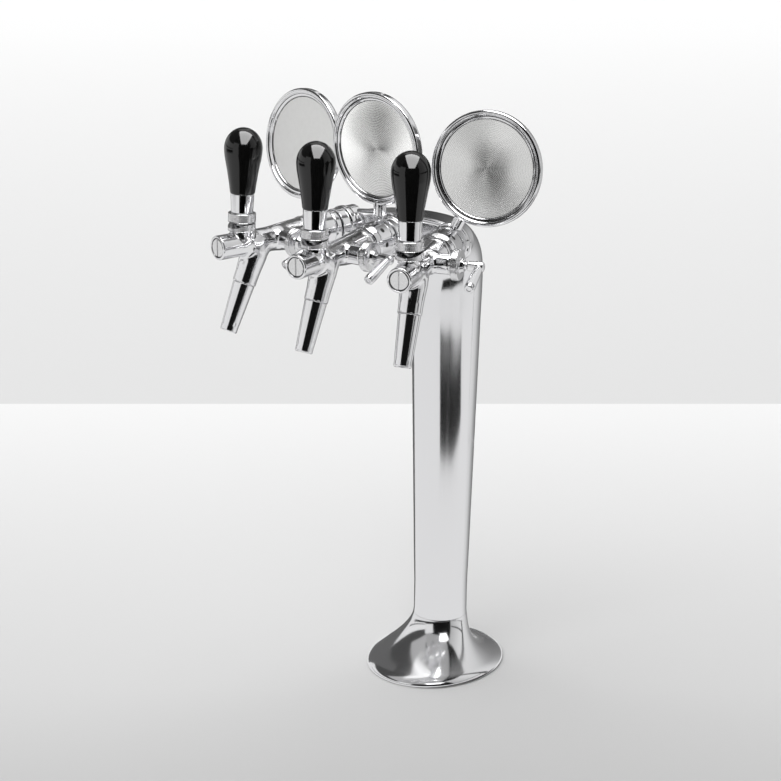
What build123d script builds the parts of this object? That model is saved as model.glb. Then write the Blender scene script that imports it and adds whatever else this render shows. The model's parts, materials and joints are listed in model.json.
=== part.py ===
from build123d import *
import math
import os

# A three-way beer tower: a chromed column that sweeps forward into a wide head, with a compensator
# tap and a round badge on each of its three ports. Millimetres, +Z up, the taps face -Y.
# The origin is the centre of the base's footprint, on the counter.

# ---- base -------------------------------------------------------------------------------------
BASE_HALF_WIDTH = 64.0
BASE_HALF_DEPTH = 72.0
RIM_CORNER_Z = 5.2  # where the flare would meet the upright rim, if their corner weren't rounded
RIM_ROUND = 5.5
FLARE_VERTEX = 53.0  # height at which the parabolic flare has run out into the column
FLARE_ROUNDING = 9.0  # how much shallower front to back the flare is, halfway out, than its foot
FLARE_FORWARD = 4.5  # how far forward its middle sections lie
BASE_TOP = 48.0  # height of the seam between base and column
BASE_WALL = 4.0
GASKET_THICKNESS = 1.0
GASKET_INSET = 3.0
PLATE_THICKNESS = 6.0
PLATE_INSET = 6.0
LINE_HOLE_RADIUS = 20.0
STUD_CIRCLE_RADIUS = 42.0  # three threaded holes for the fixing studs
STUD_HOLE_RADIUS = 4.2
PLATE_SCREW_HEAD_RADIUS = 3.6
PLATE_SCREW_RADIUS = 2.0
PLATE_SCREW_TOP = 11.0
LUG_RADIUS = 5.5

# ---- column and head --------------------------------------------------------------------------
NECK_RADIUS = 25.8  # column radius where it leaves the base
NECK_Y = 8.5
WIDEN_START_Z = 74.0  # above this the column widens towards its shoulder
SHOULDER_Z = 386.0
SHOULDER_Y = 15.5
SHOULDER_HALF_WIDTH = 33.6
SHOULDER_HALF_DEPTH = 33.0
COLUMN_WALL = 3.0
SPIGOT_LENGTH = 14.0
SPIGOT_RADIUS = 22.0
SPIGOT_BORE_RADIUS = 19.5
BEND_PIVOT_Y = -35.0  # the column's sections turn about this line into the head
HEAD_FRONT_Y = -64.0
HEAD_HALF_WIDTH = 75.0
HEAD_HALF_HEIGHT = 20.5
HEAD_CENTRE_Z = 439.0
HEAD_FRONT_WALL = 12.0

# ---- the fan of ports -------------------------------------------------------------------------
AXIS_Z = 442.0  # height of the tap axes above the counter
FAN_CENTRE_Y = 138.0  # the three tap axes meet here, behind the column
FAN_RADIUS = 352.5  # from there to each tap's front face
FAN_ANGLE = 15.9
SIDES = {"left": -1, "middle": 0, "right": 1}

# Places along a tap, measured back from its front face.
BONNET_S = 26.5
SPOUT_AXIS_S = 43.7
COMPENSATOR_S = 66.0
HOUSING_START_S = 54.0
HOUSING_END_S = 94.0
NUT_START_S = 96.5
NUT_END_S = 119.0
BRACKET_START_S = 119.6
BRACKET_END_S = 127.0
PORT_START_S = 127.6
PORT_RING_S = 139.0
PORT_END_S = 152.0
SHANK_END_S = 160.0

# ---- tap body ---------------------------------------------------------------------------------
BODY_RADIUS = 10.8
HOUSING_RADIUS = 15.0
TAIL_RADIUS = 11.4
TAIL_FLANGE_RADIUS = 14.0
TAIL_END_S = 108.0
SEAL_THICKNESS = 1.6
PLUG_RADIUS = 8.0
PLUG_GAP = 0.8
PLUG_THREAD_RADIUS = 7.4
PLUG_END_S = 12.0
BORE_RADIUS = 6.8
SEAT_RADIUS = 4.6
SEAT_START_S = 46.0
SEAT_END_S = 49.0
CHAMBER_RADIUS = 8.4
BONNET_BOSS_RADIUS = 11.4
BONNET_BOSS_TOP = 11.0

# ---- spout ------------------------------------------------------------------------------------
SPOUT_LEAN = 24.0  # degrees forward of straight down
SPOUT_JOINT = 39.6  # along the spout's axis, from the tap's axis
SPOUT_TIP = 84.2
SPOUT_BOSS_RADIUS = 10.4
SPOUT_TOP_RADIUS = 9.7
SPOUT_TIP_RADIUS = 7.7
SPOUT_BORE_RADIUS = 5.6
PASSAGE_RADIUS = 5.2  # the body's way down to the spout
SPOUT_SPIGOT_RADIUS = 7.2
SPOUT_SPIGOT_LENGTH = 8.0

# ---- handle -----------------------------------------------------------------------------------
PIVOT_Z = 14.0  # of the lever's ball, above the tap's axis
HANDLE_LEAN = 3.0  # degrees back from upright when shut
HANDLE_PULL = 20.0  # degrees forward from shut to full open
RING_RADIUS = 12.3
BONNET_TOP = 18.8
BONNET_BOTTOM = 7.2
BONNET_THREAD_RADIUS = 9.0
BALL_RADIUS = 5.5
BALL_CLEARANCE = 0.3
PIN_RADIUS = 1.3
PIN_CLEARANCE = 0.05
PIN_HALF_LENGTH = 8.5
LEVER_TIP_Z = 1.4
LEVER_TIP_RADIUS = 2.1
LOCK_RING_BOTTOM = 19.7
LOCK_RING_TOP = 28.0
FERRULE_TOP = 45.0
FERRULE_BOTTOM_RADIUS = 9.6
FERRULE_TOP_RADIUS = 10.4
GRIP_BOTTOM_RADIUS = 10.9
GRIP_RADIUS = 16.8
GRIP_WIDEST_Z = 84.5
GRIP_TOP = 102.6

# ---- compensator ------------------------------------------------------------------------------
SIDE_BOSS_RADIUS = 9.0
SIDE_BOSS_END = 24.0
GLAND_START = 26.4
GLAND_END = 32.6
GLAND_RADIUS = 13.5
SPINDLE_RADIUS = 3.2
LEVER_PLANE = 48.7
LEVER_LENGTH = 32.0
LEVER_DROP = 23.0  # degrees below level when shut
ECCENTRIC = 2.2
ECCENTRIC_PIN_RADIUS = 1.1
COMPENSATOR_TURN = 110.0
CONE_START_S = 60.0
CONE_SHOULDER_S = 72.0
CONE_END_S = 86.0

# ---- coupling nut and shank -------------------------------------------------------------------
NUT_RADIUS = 17.4
NUT_FRONT_RADIUS = 15.4
NUT_BORE_RADIUS = 14.4
SPANNER_HOLE_RADIUS = 1.9
SPANNER_HOLES = 8
SHANK_RADIUS = 8.0
SHANK_HEAD_RADIUS = 14.4
SHANK_BORE_RADIUS = 2.4
PORT_RADIUS = 16.4
PORT_RING_RADIUS = 18.0

# ---- badges -----------------------------------------------------------------------------------
BADGE_REACH = 81.0  # from the tap's axis to the badge's centre
BADGE_RADIUS = 50.0
BADGE_THICKNESS = 11.0
BADGE_PLATE_RADIUS = 42.5
# Each badge: stem's lean, twist, tilt back (degrees) and the place of its front face along the tap.
BADGE_SET = {
    "left": (-29.0, 4.0, 7.0, 120.0),
    "middle": (-1.5, -6.0, -1.5, 117.0),
    "right": (27.5, -4.2, 7.5, 118.0),
}
BRACKET_RADIUS = 15.6
STEM_S = 123.5
STEM_ROOT_RADIUS = 3.5
STEM_RADIUS = 5.6

# ---- beer lines -------------------------------------------------------------------------------
LINE_RADIUS = 4.75
LINE_BORE_RADIUS = 3.4
LINE_END_Z = 12.0
SIDE_LINE_X = 13.0
SIDE_LINE_Y = 8.0
MIDDLE_LINE_Y = 14.0


def ring(outer, inner, start, end):
    """A plain ring round the tap's axis, from one place along it to another."""
    tube = Cylinder(outer, end - start) - Cylinder(inner, end - start)
    return Pos(0, (start + end) / 2, 0) * Rot(-90, 0, 0) * tube


def rod(radius, start, end):
    """A solid rod on the tap's axis."""
    return Pos(0, (start + end) / 2, 0) * Rot(-90, 0, 0) * Cylinder(radius, end - start)


def turned(profile):
    """A solid turned round the tap's axis from (radius, place) points."""
    return revolve(make_face(Polyline([(r, s, 0) for r, s in profile], close=True)), Axis.Y)


def turned_upright(profile):
    """A solid turned round the vertical from (radius, height) points."""
    return revolve(make_face(Polyline([(r, 0, z) for r, z in profile], close=True)), Axis.Z)


def oval(half_x, half_y, place):
    return place * Ellipse(half_x, half_y)


# ---- base -------------------------------------------------------------------------------------
def flare(height):
    """Half width, half depth and centre of the flare's section at a height."""
    spread = (max(0, FLARE_VERTEX - height) / (FLARE_VERTEX - RIM_CORNER_Z)) ** 2
    halfway = 4 * spread * (1 - spread)
    rise = min(1, max(0, height - RIM_CORNER_Z) / (BASE_TOP - RIM_CORNER_Z))
    half_width = NECK_RADIUS + (BASE_HALF_WIDTH - NECK_RADIUS) * spread
    half_depth = NECK_RADIUS + (BASE_HALF_DEPTH - NECK_RADIUS) * spread - FLARE_ROUNDING * halfway
    return half_width, half_depth, NECK_Y * rise**2 * (3 - 2 * rise) - FLARE_FORWARD * halfway


def flare_solid(inset, bottom, top):
    sections = []
    steps = 8
    for i in range(steps + 1):
        height = bottom + (top - bottom) * i / steps
        half_width, half_depth, centre = flare(height)
        sections.append(oval(half_width - inset, half_depth - inset, Pos(0, centre, height)))
    return loft(sections)


def foot(inset, bottom, top):
    outline = Ellipse(BASE_HALF_WIDTH - inset, BASE_HALF_DEPTH - inset)
    return extrude(Pos(0, 0, bottom) * outline, top - bottom)


def make_base():
    rim = foot(0, GASKET_THICKNESS, RIM_CORNER_Z)
    rim = chamfer(rim.edges().group_by(Axis.Z)[0], 0.5)
    outside = rim + flare_solid(0, RIM_CORNER_Z, BASE_TOP)
    corner = outside.edges().filter_by_position(Axis.Z, RIM_CORNER_Z - 0.1, RIM_CORNER_Z + 0.1)
    outside = fillet(corner, RIM_ROUND)
    hollow = flare_solid(BASE_WALL, RIM_CORNER_Z, BASE_TOP - SPIGOT_LENGTH)
    hollow += foot(PLATE_INSET, 0, PLATE_THICKNESS + GASKET_THICKNESS)
    bottom = GASKET_THICKNESS + PLATE_THICKNESS
    for place in plate_screw_places():
        hollow -= place * Pos(0, 0, bottom + 20) * Cylinder(LUG_RADIUS, 40)
    socket = Pos(0, NECK_Y, BASE_TOP) * Cylinder(SPIGOT_RADIUS, 2 * SPIGOT_LENGTH)
    shape = outside - hollow - socket
    for place in plate_screw_places():
        shape -= place * Cylinder(PLATE_SCREW_RADIUS, 2 * PLATE_SCREW_TOP)
    return shape


def plate_screw_places():
    return PolarLocations(BASE_HALF_WIDTH - PLATE_INSET - 9, 4, 45)


def make_base_plate():
    plate = foot(PLATE_INSET, GASKET_THICKNESS, GASKET_THICKNESS + PLATE_THICKNESS)
    plate -= Pos(0, NECK_Y, 0) * Cylinder(LINE_HOLE_RADIUS, 30)
    for place in PolarLocations(STUD_CIRCLE_RADIUS, 3, 90):
        plate -= place * Cylinder(STUD_HOLE_RADIUS, 30)
    for place in plate_screw_places():
        plate -= place * Cylinder(PLATE_SCREW_RADIUS, 30)
        plate -= place * Cylinder(PLATE_SCREW_HEAD_RADIUS, 2 * (GASKET_THICKNESS + 2.5))
    return plate


def make_plate_screws():
    screws = []
    head_bottom = GASKET_THICKNESS + 0.4
    head_top = GASKET_THICKNESS + 2.5
    top = PLATE_SCREW_TOP
    for place in plate_screw_places():
        head = Pos(0, 0, (head_bottom + head_top) / 2) * Cylinder(
            PLATE_SCREW_HEAD_RADIUS, head_top - head_bottom
        )
        shaft = Pos(0, 0, (head_top + top) / 2) * Cylinder(PLATE_SCREW_RADIUS, top - head_top)
        slot = Pos(0, 0, head_bottom) * Box(5.0, 1.0, 1.2)
        screws.append(place * (head + shaft - slot))
    return screws


def make_gasket():
    """The rubber sheet under the base, open for the lines and the studs."""
    gasket = foot(GASKET_INSET, 0, GASKET_THICKNESS)
    gasket -= Pos(0, NECK_Y, 0) * Cylinder(LINE_HOLE_RADIUS, 30)
    for place in PolarLocations(STUD_CIRCLE_RADIUS, 3, 90):
        gasket -= place * Cylinder(STUD_HOLE_RADIUS, 30)
    return gasket


# ---- column and head --------------------------------------------------------------------------
def column_section(height, inset):
    """Half width, half depth and centre of the column's section at a height."""
    rise = (height - BASE_TOP) / (SHOULDER_Z - BASE_TOP)
    widen = max(0, height - WIDEN_START_Z) / (SHOULDER_Z - WIDEN_START_Z)
    half_width, half_depth, centre = flare(height)
    half_width += (SHOULDER_HALF_WIDTH - NECK_RADIUS) * widen - inset
    half_depth += (SHOULDER_HALF_DEPTH - NECK_RADIUS) * widen - inset
    return half_width, half_depth, centre + (SHOULDER_Y - NECK_Y) * rise


def squircle(half_x, half_y, power, place):
    """A closed curve between an ellipse (power 2) and a rounded rectangle, as a face."""
    points = []
    count = 24
    for i in range(count):
        turn = 2 * math.pi * i / count
        c, s = math.cos(turn), math.sin(turn)
        x = half_x * math.copysign(abs(c) ** (2 / power), c)
        y = half_y * math.copysign(abs(s) ** (2 / power), s)
        points.append((x, y))
    return place * make_face(Spline(points, periodic=True))


def bend_place(turn, centre_radius):
    """The plane of a section that has turned forward about the head's pivot line."""
    angle = math.radians(turn)
    origin = (
        0,
        BEND_PIVOT_Y + centre_radius * math.cos(angle),
        SHOULDER_Z + centre_radius * math.sin(angle),
    )
    return Plane(origin=origin, x_dir=(1, 0, 0), z_dir=(0, -math.sin(angle), math.cos(angle)))


# Bend sections: turn, nearest and furthest distance from the pivot line, half width, power.
BEND = (
    (22.0, 17.5, 84.5, 34.2, 2.0),
    (45.0, 19.0, 77.5, 36.0, 2.1),
    (68.0, 24.0, 70.5, 43.5, 2.2),
    (90.0, 31.0, 72.0, 58.0, 2.4),
)


def column_and_head(inset, bottom, front):
    """The column and the head it bends into, as one smooth solid."""
    sections = []
    step = (SHOULDER_Z - WIDEN_START_Z) / 10
    heights = [bottom, FLARE_VERTEX, 64.0] + [WIDEN_START_Z + step * i for i in range(11)]
    for height in heights:
        half_width, half_depth, centre = column_section(height, inset)
        sections.append(squircle(half_width, half_depth, 2.0, Plane.XY.offset(height) * Pos(0, centre)))
    for turn, near, far, half_width, power in BEND:
        place = bend_place(turn, (near + far) / 2)
        sections.append(squircle(half_width - inset, (far - near) / 2 - inset, power, place))
    _, near, far, waist, _ = BEND[-1]
    waist_z = SHOULDER_Z + (near + far) / 2
    for part_way, power in ((0.55, 2.6), (1.0, 2.8)):
        y = BEND_PIVOT_Y + (front - BEND_PIVOT_Y) * part_way
        half_width = waist + (HEAD_HALF_WIDTH - waist) * part_way - inset
        z = waist_z + (HEAD_CENTRE_Z - waist_z) * part_way
        place = Plane(origin=(0, y, z), x_dir=(1, 0, 0), z_dir=(0, -1, 0))
        sections.append(squircle(half_width, HEAD_HALF_HEIGHT - inset, power, place))
    return loft(sections)


def tap_place(side):
    """A tap's frame: origin on its front face, +Y back along its axis, +X to its side."""
    turn = FAN_ANGLE * SIDES[side]
    return Location((0, FAN_CENTRE_Y, AXIS_Z), (0, 0, turn)) * Pos(0, -FAN_RADIUS, 0)


def make_port():
    return turned(
        (
            (0, PORT_START_S),
            (PORT_RADIUS - 1, PORT_START_S),
            (PORT_RADIUS, PORT_START_S + 1),
            (PORT_RADIUS, PORT_RING_S - 4),
            (PORT_RING_RADIUS - 0.6, PORT_RING_S - 3),
            (PORT_RING_RADIUS, PORT_RING_S - 2),
            (PORT_RING_RADIUS, PORT_RING_S + 2),
            (PORT_RING_RADIUS - 0.6, PORT_RING_S + 3),
            (PORT_RADIUS + 1, PORT_RING_S + 4),
            (PORT_RADIUS + 1, PORT_END_S),
            (0, PORT_END_S),
        )
    )


def make_column():
    outer = column_and_head(0, BASE_TOP, HEAD_FRONT_Y)
    spigot_z = BASE_TOP - SPIGOT_LENGTH / 2
    outer += Pos(0, NECK_Y, spigot_z) * Cylinder(SPIGOT_RADIUS, SPIGOT_LENGTH)
    for side in SIDES:
        outer += tap_place(side) * make_port()
    hollow_bottom = BASE_TOP + 4
    hollow = column_and_head(COLUMN_WALL, hollow_bottom, HEAD_FRONT_Y + HEAD_FRONT_WALL)
    spigot_bore = Cylinder(SPIGOT_BORE_RADIUS, 2 * (SPIGOT_LENGTH + 5))
    hollow += Pos(0, NECK_Y, BASE_TOP - SPIGOT_LENGTH) * spigot_bore
    shape = outer - hollow
    for side in SIDES:
        shape -= tap_place(side) * rod(SHANK_RADIUS, PORT_START_S - 5, PORT_END_S + 12)
    return shape


# ---- tap pieces, each in its tap's frame ------------------------------------------------------
def spout_place(distance):
    """The plane across the spout's axis at a distance down from the tap's axis."""
    angle = math.radians(SPOUT_LEAN)
    down = (0, -math.sin(angle), -math.cos(angle))
    origin = (0, SPOUT_AXIS_S + distance * down[1], distance * down[2])
    return Plane(origin=origin, x_dir=(1, 0, 0), z_dir=down)


def along_spout(sections):
    """A round solid through (distance, radius) sections down the spout's axis."""
    profile = [(0, sections[0][0])] + [(r, d) for d, r in sections] + [(0, sections[-1][0])]
    return spout_place(0).location * turned_upright(profile)


def make_tap_body():
    shape = turned(
        (
            (0, 0),
            (BODY_RADIUS - 0.7, 0),
            (BODY_RADIUS, 0.7),
            (BODY_RADIUS, HOUSING_START_S),
            (HOUSING_RADIUS - 0.8, HOUSING_END_S - 6),
            (HOUSING_RADIUS, HOUSING_END_S - 3),
            (HOUSING_RADIUS, HOUSING_END_S - 0.6),
            (HOUSING_RADIUS - 0.8, HOUSING_END_S),
            (TAIL_RADIUS, HOUSING_END_S),
            (TAIL_RADIUS, TAIL_END_S - 4),
            (TAIL_FLANGE_RADIUS, TAIL_END_S - 4),
            (TAIL_FLANGE_RADIUS, TAIL_END_S),
            (0, TAIL_END_S),
        )
    )
    boss_height = BONNET_BOSS_TOP
    boss = Pos(0, BONNET_S, boss_height / 2) * Cylinder(BONNET_BOSS_RADIUS, boss_height)
    shape += fillet(boss.edges().group_by(Axis.Z)[-1], 0.8)
    shape += along_spout(
        ((-4, 10.5), (8, 12.6), (14, 12.2), (24, SPOUT_BOSS_RADIUS + 0.4), (SPOUT_JOINT, SPOUT_BOSS_RADIUS))
    )
    shape += Pos(SIDE_BOSS_END / 2, COMPENSATOR_S, 0) * Rot(0, 90, 0) * Cylinder(
        SIDE_BOSS_RADIUS, SIDE_BOSS_END
    )
    # Front bore, valve seat, valve chamber and compensator chamber.
    shape -= rod(PLUG_RADIUS + PLUG_GAP, -1, 3.2)
    shape -= rod(PLUG_THREAD_RADIUS, -1, PLUG_END_S)
    shape -= rod(BORE_RADIUS, PLUG_END_S, SEAT_START_S)
    shape -= rod(SEAT_RADIUS, SEAT_START_S, SEAT_END_S)
    shape -= turned(
        (
            (0, SEAT_END_S),
            (CHAMBER_RADIUS, SEAT_END_S),
            (CHAMBER_RADIUS, CONE_SHOULDER_S),
            (HOUSING_RADIUS - 3.4, HOUSING_END_S - 2),
            (8.5, HOUSING_END_S + 2),
            (8.5, TAIL_END_S),
            (0, TAIL_END_S),
        )
    )
    shape -= Pos(0, BONNET_S, BONNET_BOTTOM - 0.2 + 5) * Cylinder(BONNET_THREAD_RADIUS, 10)
    shape -= Pos(0, BONNET_S, 4) * Cylinder(6.4, 8)  # way down for the lever
    shape -= along_spout(((3, PASSAGE_RADIUS), (SPOUT_JOINT + 1, PASSAGE_RADIUS)))
    shape -= along_spout(
        ((SPOUT_JOINT - SPOUT_SPIGOT_LENGTH, SPOUT_SPIGOT_RADIUS), (SPOUT_JOINT + 1, SPOUT_SPIGOT_RADIUS))
    )
    bore_length = SIDE_BOSS_END - 3
    shape -= Pos(SIDE_BOSS_END - bore_length / 2, COMPENSATOR_S, 0) * Rot(0, 90, 0) * Cylinder(
        6.0, bore_length
    )
    return shape


def make_end_cap():
    cap = rod(PLUG_RADIUS, 0.3, 3.2) + rod(PLUG_THREAD_RADIUS, 3.2, PLUG_END_S - 2)
    cap = chamfer(cap.edges().group_by(Axis.Y)[0], 0.4)
    return cap - Pos(0, 0, 0) * Box(1.7, 3.4, 2 * PLUG_RADIUS + 2)


def make_spout():
    nozzle = along_spout(
        (
            (SPOUT_JOINT, SPOUT_TOP_RADIUS),
            (SPOUT_TIP - 8, SPOUT_TIP_RADIUS + 0.2),
            (SPOUT_TIP - 0.8, SPOUT_TIP_RADIUS),
            (SPOUT_TIP, SPOUT_TIP_RADIUS - 0.5),
        )
    )
    spigot = ((SPOUT_JOINT - SPOUT_SPIGOT_LENGTH, SPOUT_SPIGOT_RADIUS), (SPOUT_JOINT, SPOUT_SPIGOT_RADIUS))
    nozzle += along_spout(spigot)
    bore_start = SPOUT_JOINT - SPOUT_SPIGOT_LENGTH - 1
    return nozzle - along_spout(((bore_start, SPOUT_BORE_RADIUS), (SPOUT_TIP + 1, SPOUT_BORE_RADIUS)))


def make_bonnet():
    """The knurled nut that holds the lever's ball, with a relief for the pulled handle."""
    shape = turned_upright(
        (
            (6.4, BONNET_BOTTOM),
            (BONNET_THREAD_RADIUS, BONNET_BOTTOM),
            (BONNET_THREAD_RADIUS, BONNET_BOSS_TOP + 0.2),
            (RING_RADIUS - 0.5, BONNET_BOSS_TOP + 0.2),
            (RING_RADIUS, BONNET_BOSS_TOP + 0.7),
            (RING_RADIUS, BONNET_TOP - 0.5),
            (RING_RADIUS - 0.5, BONNET_TOP),
            (6.4, BONNET_TOP),
        )
    )
    shape -= Pos(0, 0, PIVOT_Z) * Sphere(BALL_RADIUS + BALL_CLEARANCE)
    shape += Pos(0, 0, 16.6) * (Cylinder(7.0, 2.2) - Cylinder(5.2, 2.2))
    shape -= Pos(0, 0, PIVOT_Z) * Sphere(BALL_RADIUS + BALL_CLEARANCE)
    pin_bore = Cylinder(PIN_RADIUS + PIN_CLEARANCE, 2 * (PIN_HALF_LENGTH + 0.4))
    shape -= Pos(0, 0, PIVOT_Z) * Rot(0, 90, 0) * pin_bore
    relief = Pos(0, -20, 5) * Box(60, 40, 10)
    tilt = HANDLE_PULL - HANDLE_LEAN + 2
    shape -= Pos(0, -2.0, BONNET_TOP + 0.2) * Rot(tilt, 0, 0) * relief
    return Pos(0, BONNET_S, 0) * shape


def leaned(shape):
    """Put a handle piece, drawn upright over its pivot, in the tap's frame, leaning back."""
    upright = Pos(0, 0, -PIVOT_Z) * shape
    return Pos(0, BONNET_S, PIVOT_Z) * Rot(-HANDLE_LEAN, 0, 0) * upright


def make_lever():
    stem = turned_upright(((0, PIVOT_Z), (3.6, PIVOT_Z), (3.6, 32), (3.0, 33), (3.0, 60), (0, 60)))
    tip_stem = turned_upright(((0, LEVER_TIP_Z), (1.5, LEVER_TIP_Z), (1.5, PIVOT_Z), (0, PIVOT_Z)))
    shape = stem + tip_stem + Pos(0, 0, PIVOT_Z) * Sphere(BALL_RADIUS)
    shape += Pos(0, 0, LEVER_TIP_Z) * Sphere(LEVER_TIP_RADIUS)
    shape += Pos(0, 0, PIVOT_Z) * Rot(0, 90, 0) * Cylinder(PIN_RADIUS, 2 * PIN_HALF_LENGTH)
    return leaned(shape)


def make_lock_ring():
    return leaned(
        turned_upright(
            (
                (3.6, LOCK_RING_BOTTOM),
                (RING_RADIUS - 0.5, LOCK_RING_BOTTOM),
                (RING_RADIUS, LOCK_RING_BOTTOM + 0.5),
                (RING_RADIUS, LOCK_RING_TOP - 0.5),
                (RING_RADIUS - 0.5, LOCK_RING_TOP),
                (3.6, LOCK_RING_TOP),
            )
        )
    )


def make_ferrule():
    return leaned(
        turned_upright(
            (
                (3.6, LOCK_RING_TOP),
                (FERRULE_BOTTOM_RADIUS, LOCK_RING_TOP),
                (FERRULE_TOP_RADIUS, FERRULE_TOP),
                (3.0, FERRULE_TOP),
                (3.0, 33.0),
                (3.6, 32.0),
            )
        )
    )


def grip_profile():
    """Half outline of the grip: a swelling side, then a quarter-ellipse dome."""
    side = Spline(
        [(GRIP_BOTTOM_RADIUS, 0, FERRULE_TOP + 0.8), (13.6, 0, 65.0), (GRIP_RADIUS, 0, GRIP_WIDEST_Z)],
        tangents=[(0.1, 0, 1), (0, 0, 1)],
    )
    middle = GRIP_WIDEST_Z + (GRIP_TOP - GRIP_WIDEST_Z) * math.sin(math.radians(45))
    dome = Spline(
        [
            (GRIP_RADIUS, 0, GRIP_WIDEST_Z),
            (GRIP_RADIUS * math.cos(math.radians(45)), 0, middle),
            (0, 0, GRIP_TOP),
        ],
        tangents=[(0, 0, 1), (-1, 0, 0)],
    )
    return side + dome


def make_grip():
    foot_edge = (GRIP_BOTTOM_RADIUS - 0.8, 0, FERRULE_TOP)
    lines = grip_profile()
    lines += Polyline([(GRIP_BOTTOM_RADIUS, 0, FERRULE_TOP + 0.8), foot_edge, (0, 0, FERRULE_TOP)])
    lines += Line((0, 0, FERRULE_TOP), (0, 0, GRIP_TOP))
    body = revolve(make_face(lines), Axis.Z)
    return leaned(body - Pos(0, 0, (FERRULE_TOP + 60) / 2) * Cylinder(3.0, 60 - FERRULE_TOP))


def lever_tip_s():
    """Where the lever's tip sits along the tap at rest."""
    return BONNET_S - (PIVOT_Z - LEVER_TIP_Z) * math.sin(math.radians(HANDLE_LEAN))


def make_plunger():
    shape = rod(BORE_RADIUS - 0.3, 13, 17) + rod(3.7, 17, 34) + rod(3.0, 34, 50)
    shape += turned(((0, SEAT_END_S + 0.4), (5.4, SEAT_END_S + 0.4), (6.4, 51), (6.4, 53.2), (0, 53.2)))
    pocket = Cylinder(LEVER_TIP_RADIUS + 0.4, 10)
    return shape - Pos(0, lever_tip_s(), LEVER_TIP_Z - LEVER_TIP_RADIUS - 0.4 + 5) * pocket


def across(shape):
    """Put a piece, drawn along +Z, on the compensator's axis, along +X."""
    return Pos(0, COMPENSATOR_S, 0) * Rot(0, 90, 0) * shape


def make_gland():
    shape = turned_upright(
        (
            (SPINDLE_RADIUS + 0.05, SIDE_BOSS_END - 8),
            (6.0, SIDE_BOSS_END - 8),
            (6.0, SIDE_BOSS_END),
            (SIDE_BOSS_RADIUS + 0.6, SIDE_BOSS_END),
            (SIDE_BOSS_RADIUS + 0.6, GLAND_START),
            (GLAND_RADIUS - 0.6, GLAND_START),
            (GLAND_RADIUS, GLAND_START + 0.6),
            (GLAND_RADIUS, GLAND_END - 0.8),
            (GLAND_RADIUS - 0.8, GLAND_END),
            (6.4, GLAND_END),
            (5.4, GLAND_END + 3.4),
            (SPINDLE_RADIUS + 0.05, GLAND_END + 3.4),
        )
    )
    return across(shape)


def make_compensator_lever():
    spindle_start = 8.4
    spindle = Pos(0, 0, (spindle_start + LEVER_PLANE) / 2) * Cylinder(
        SPINDLE_RADIUS, LEVER_PLANE - spindle_start
    )
    hub = turned_upright(((0, 38.5), (3.9, 38.5), (4.4, 40), (4.4, LEVER_PLANE), (0, LEVER_PLANE)))
    shape = across(spindle + hub)
    pin = Pos(0, 0, 6.0) * Cylinder(ECCENTRIC_PIN_RADIUS, 5.6)
    # The eccentric pin starts forward of the bottom and swings through it by the lever's turn.
    offset = Vector(0, ECCENTRIC, 0).rotate(Axis.X, 270 - COMPENSATOR_TURN / 2)
    shape += Pos(offset.X, offset.Y, offset.Z) * across(pin)
    shape += Pos(LEVER_PLANE, COMPENSATOR_S, 0) * Sphere(4.4)
    end = LEVER_LENGTH
    arm = turned_upright(((0, 0), (3.7, 0), (4.7, end - 4), (3.6, end - 1.2), (0, end)))
    forward_down = Plane(
        origin=(LEVER_PLANE, COMPENSATOR_S, 0),
        x_dir=(1, 0, 0),
        z_dir=(0, -math.cos(math.radians(LEVER_DROP)), -math.sin(math.radians(LEVER_DROP))),
    )
    return shape + forward_down.location * arm


def make_cone():
    shape = turned(
        (
            (0, CONE_START_S),
            (6.2, CONE_START_S),
            (7.6, CONE_START_S + 2),
            (7.6, CONE_SHOULDER_S - 1),
            (9.2, CONE_END_S - 3),
            (8.0, CONE_END_S),
            (0, CONE_END_S),
        )
    )
    slot_s = COMPENSATOR_S - ECCENTRIC * math.sin(math.radians(COMPENSATOR_TURN / 2))
    slot = Box(8.0, 2 * (ECCENTRIC_PIN_RADIUS + 0.35), 8.4)
    shape -= Pos(7.0, slot_s, 0) * slot
    return shape


def make_coupling_nut():
    nut = turned(
        (
            (TAIL_RADIUS + 0.3, NUT_START_S),
            (NUT_FRONT_RADIUS - 0.8, NUT_START_S),
            (NUT_FRONT_RADIUS, NUT_START_S + 0.8),
            (NUT_RADIUS, NUT_START_S + 5.5),
            (NUT_RADIUS, NUT_END_S - 1.2),
            (NUT_RADIUS - 1.2, NUT_END_S),
            (NUT_BORE_RADIUS, NUT_END_S),
            (NUT_BORE_RADIUS, TAIL_END_S - 4.3),
            (TAIL_RADIUS + 0.3, TAIL_END_S - 4.3),
        )
    )
    hole_s = (NUT_START_S + NUT_END_S) / 2 + 1
    for i in range(SPANNER_HOLES):
        hole = Pos(0, 0, NUT_RADIUS) * Cylinder(SPANNER_HOLE_RADIUS, 3.6)
        nut -= Pos(0, hole_s, 0) * Rot(0, 45 + 360 / SPANNER_HOLES * i, 0) * hole
    return nut


def make_shank():
    shape = turned(
        (
            (SHANK_BORE_RADIUS, TAIL_END_S + SEAL_THICKNESS),
            (SHANK_HEAD_RADIUS, TAIL_END_S + SEAL_THICKNESS),
            (SHANK_HEAD_RADIUS, BRACKET_START_S),
            (SHANK_RADIUS, BRACKET_START_S),
            (SHANK_RADIUS, PORT_END_S - 2),
            (LINE_BORE_RADIUS, PORT_END_S),
            (LINE_BORE_RADIUS, SHANK_END_S),
            (SHANK_BORE_RADIUS, SHANK_END_S),
        )
    )
    return shape


# ---- badges -----------------------------------------------------------------------------------
def badge_frame(side):
    """The badge's frame in its tap's frame: origin at its centre, front towards -Y."""
    lean, twist, tilt, face = BADGE_SET[side]
    across_x = BADGE_REACH * math.sin(math.radians(lean))
    up_z = BADGE_REACH * math.cos(math.radians(lean))
    centre = Pos(across_x, face + BADGE_THICKNESS / 2, up_z)
    return centre * Rot(0, 0, twist) * Rot(-tilt, 0, 0)


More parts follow.
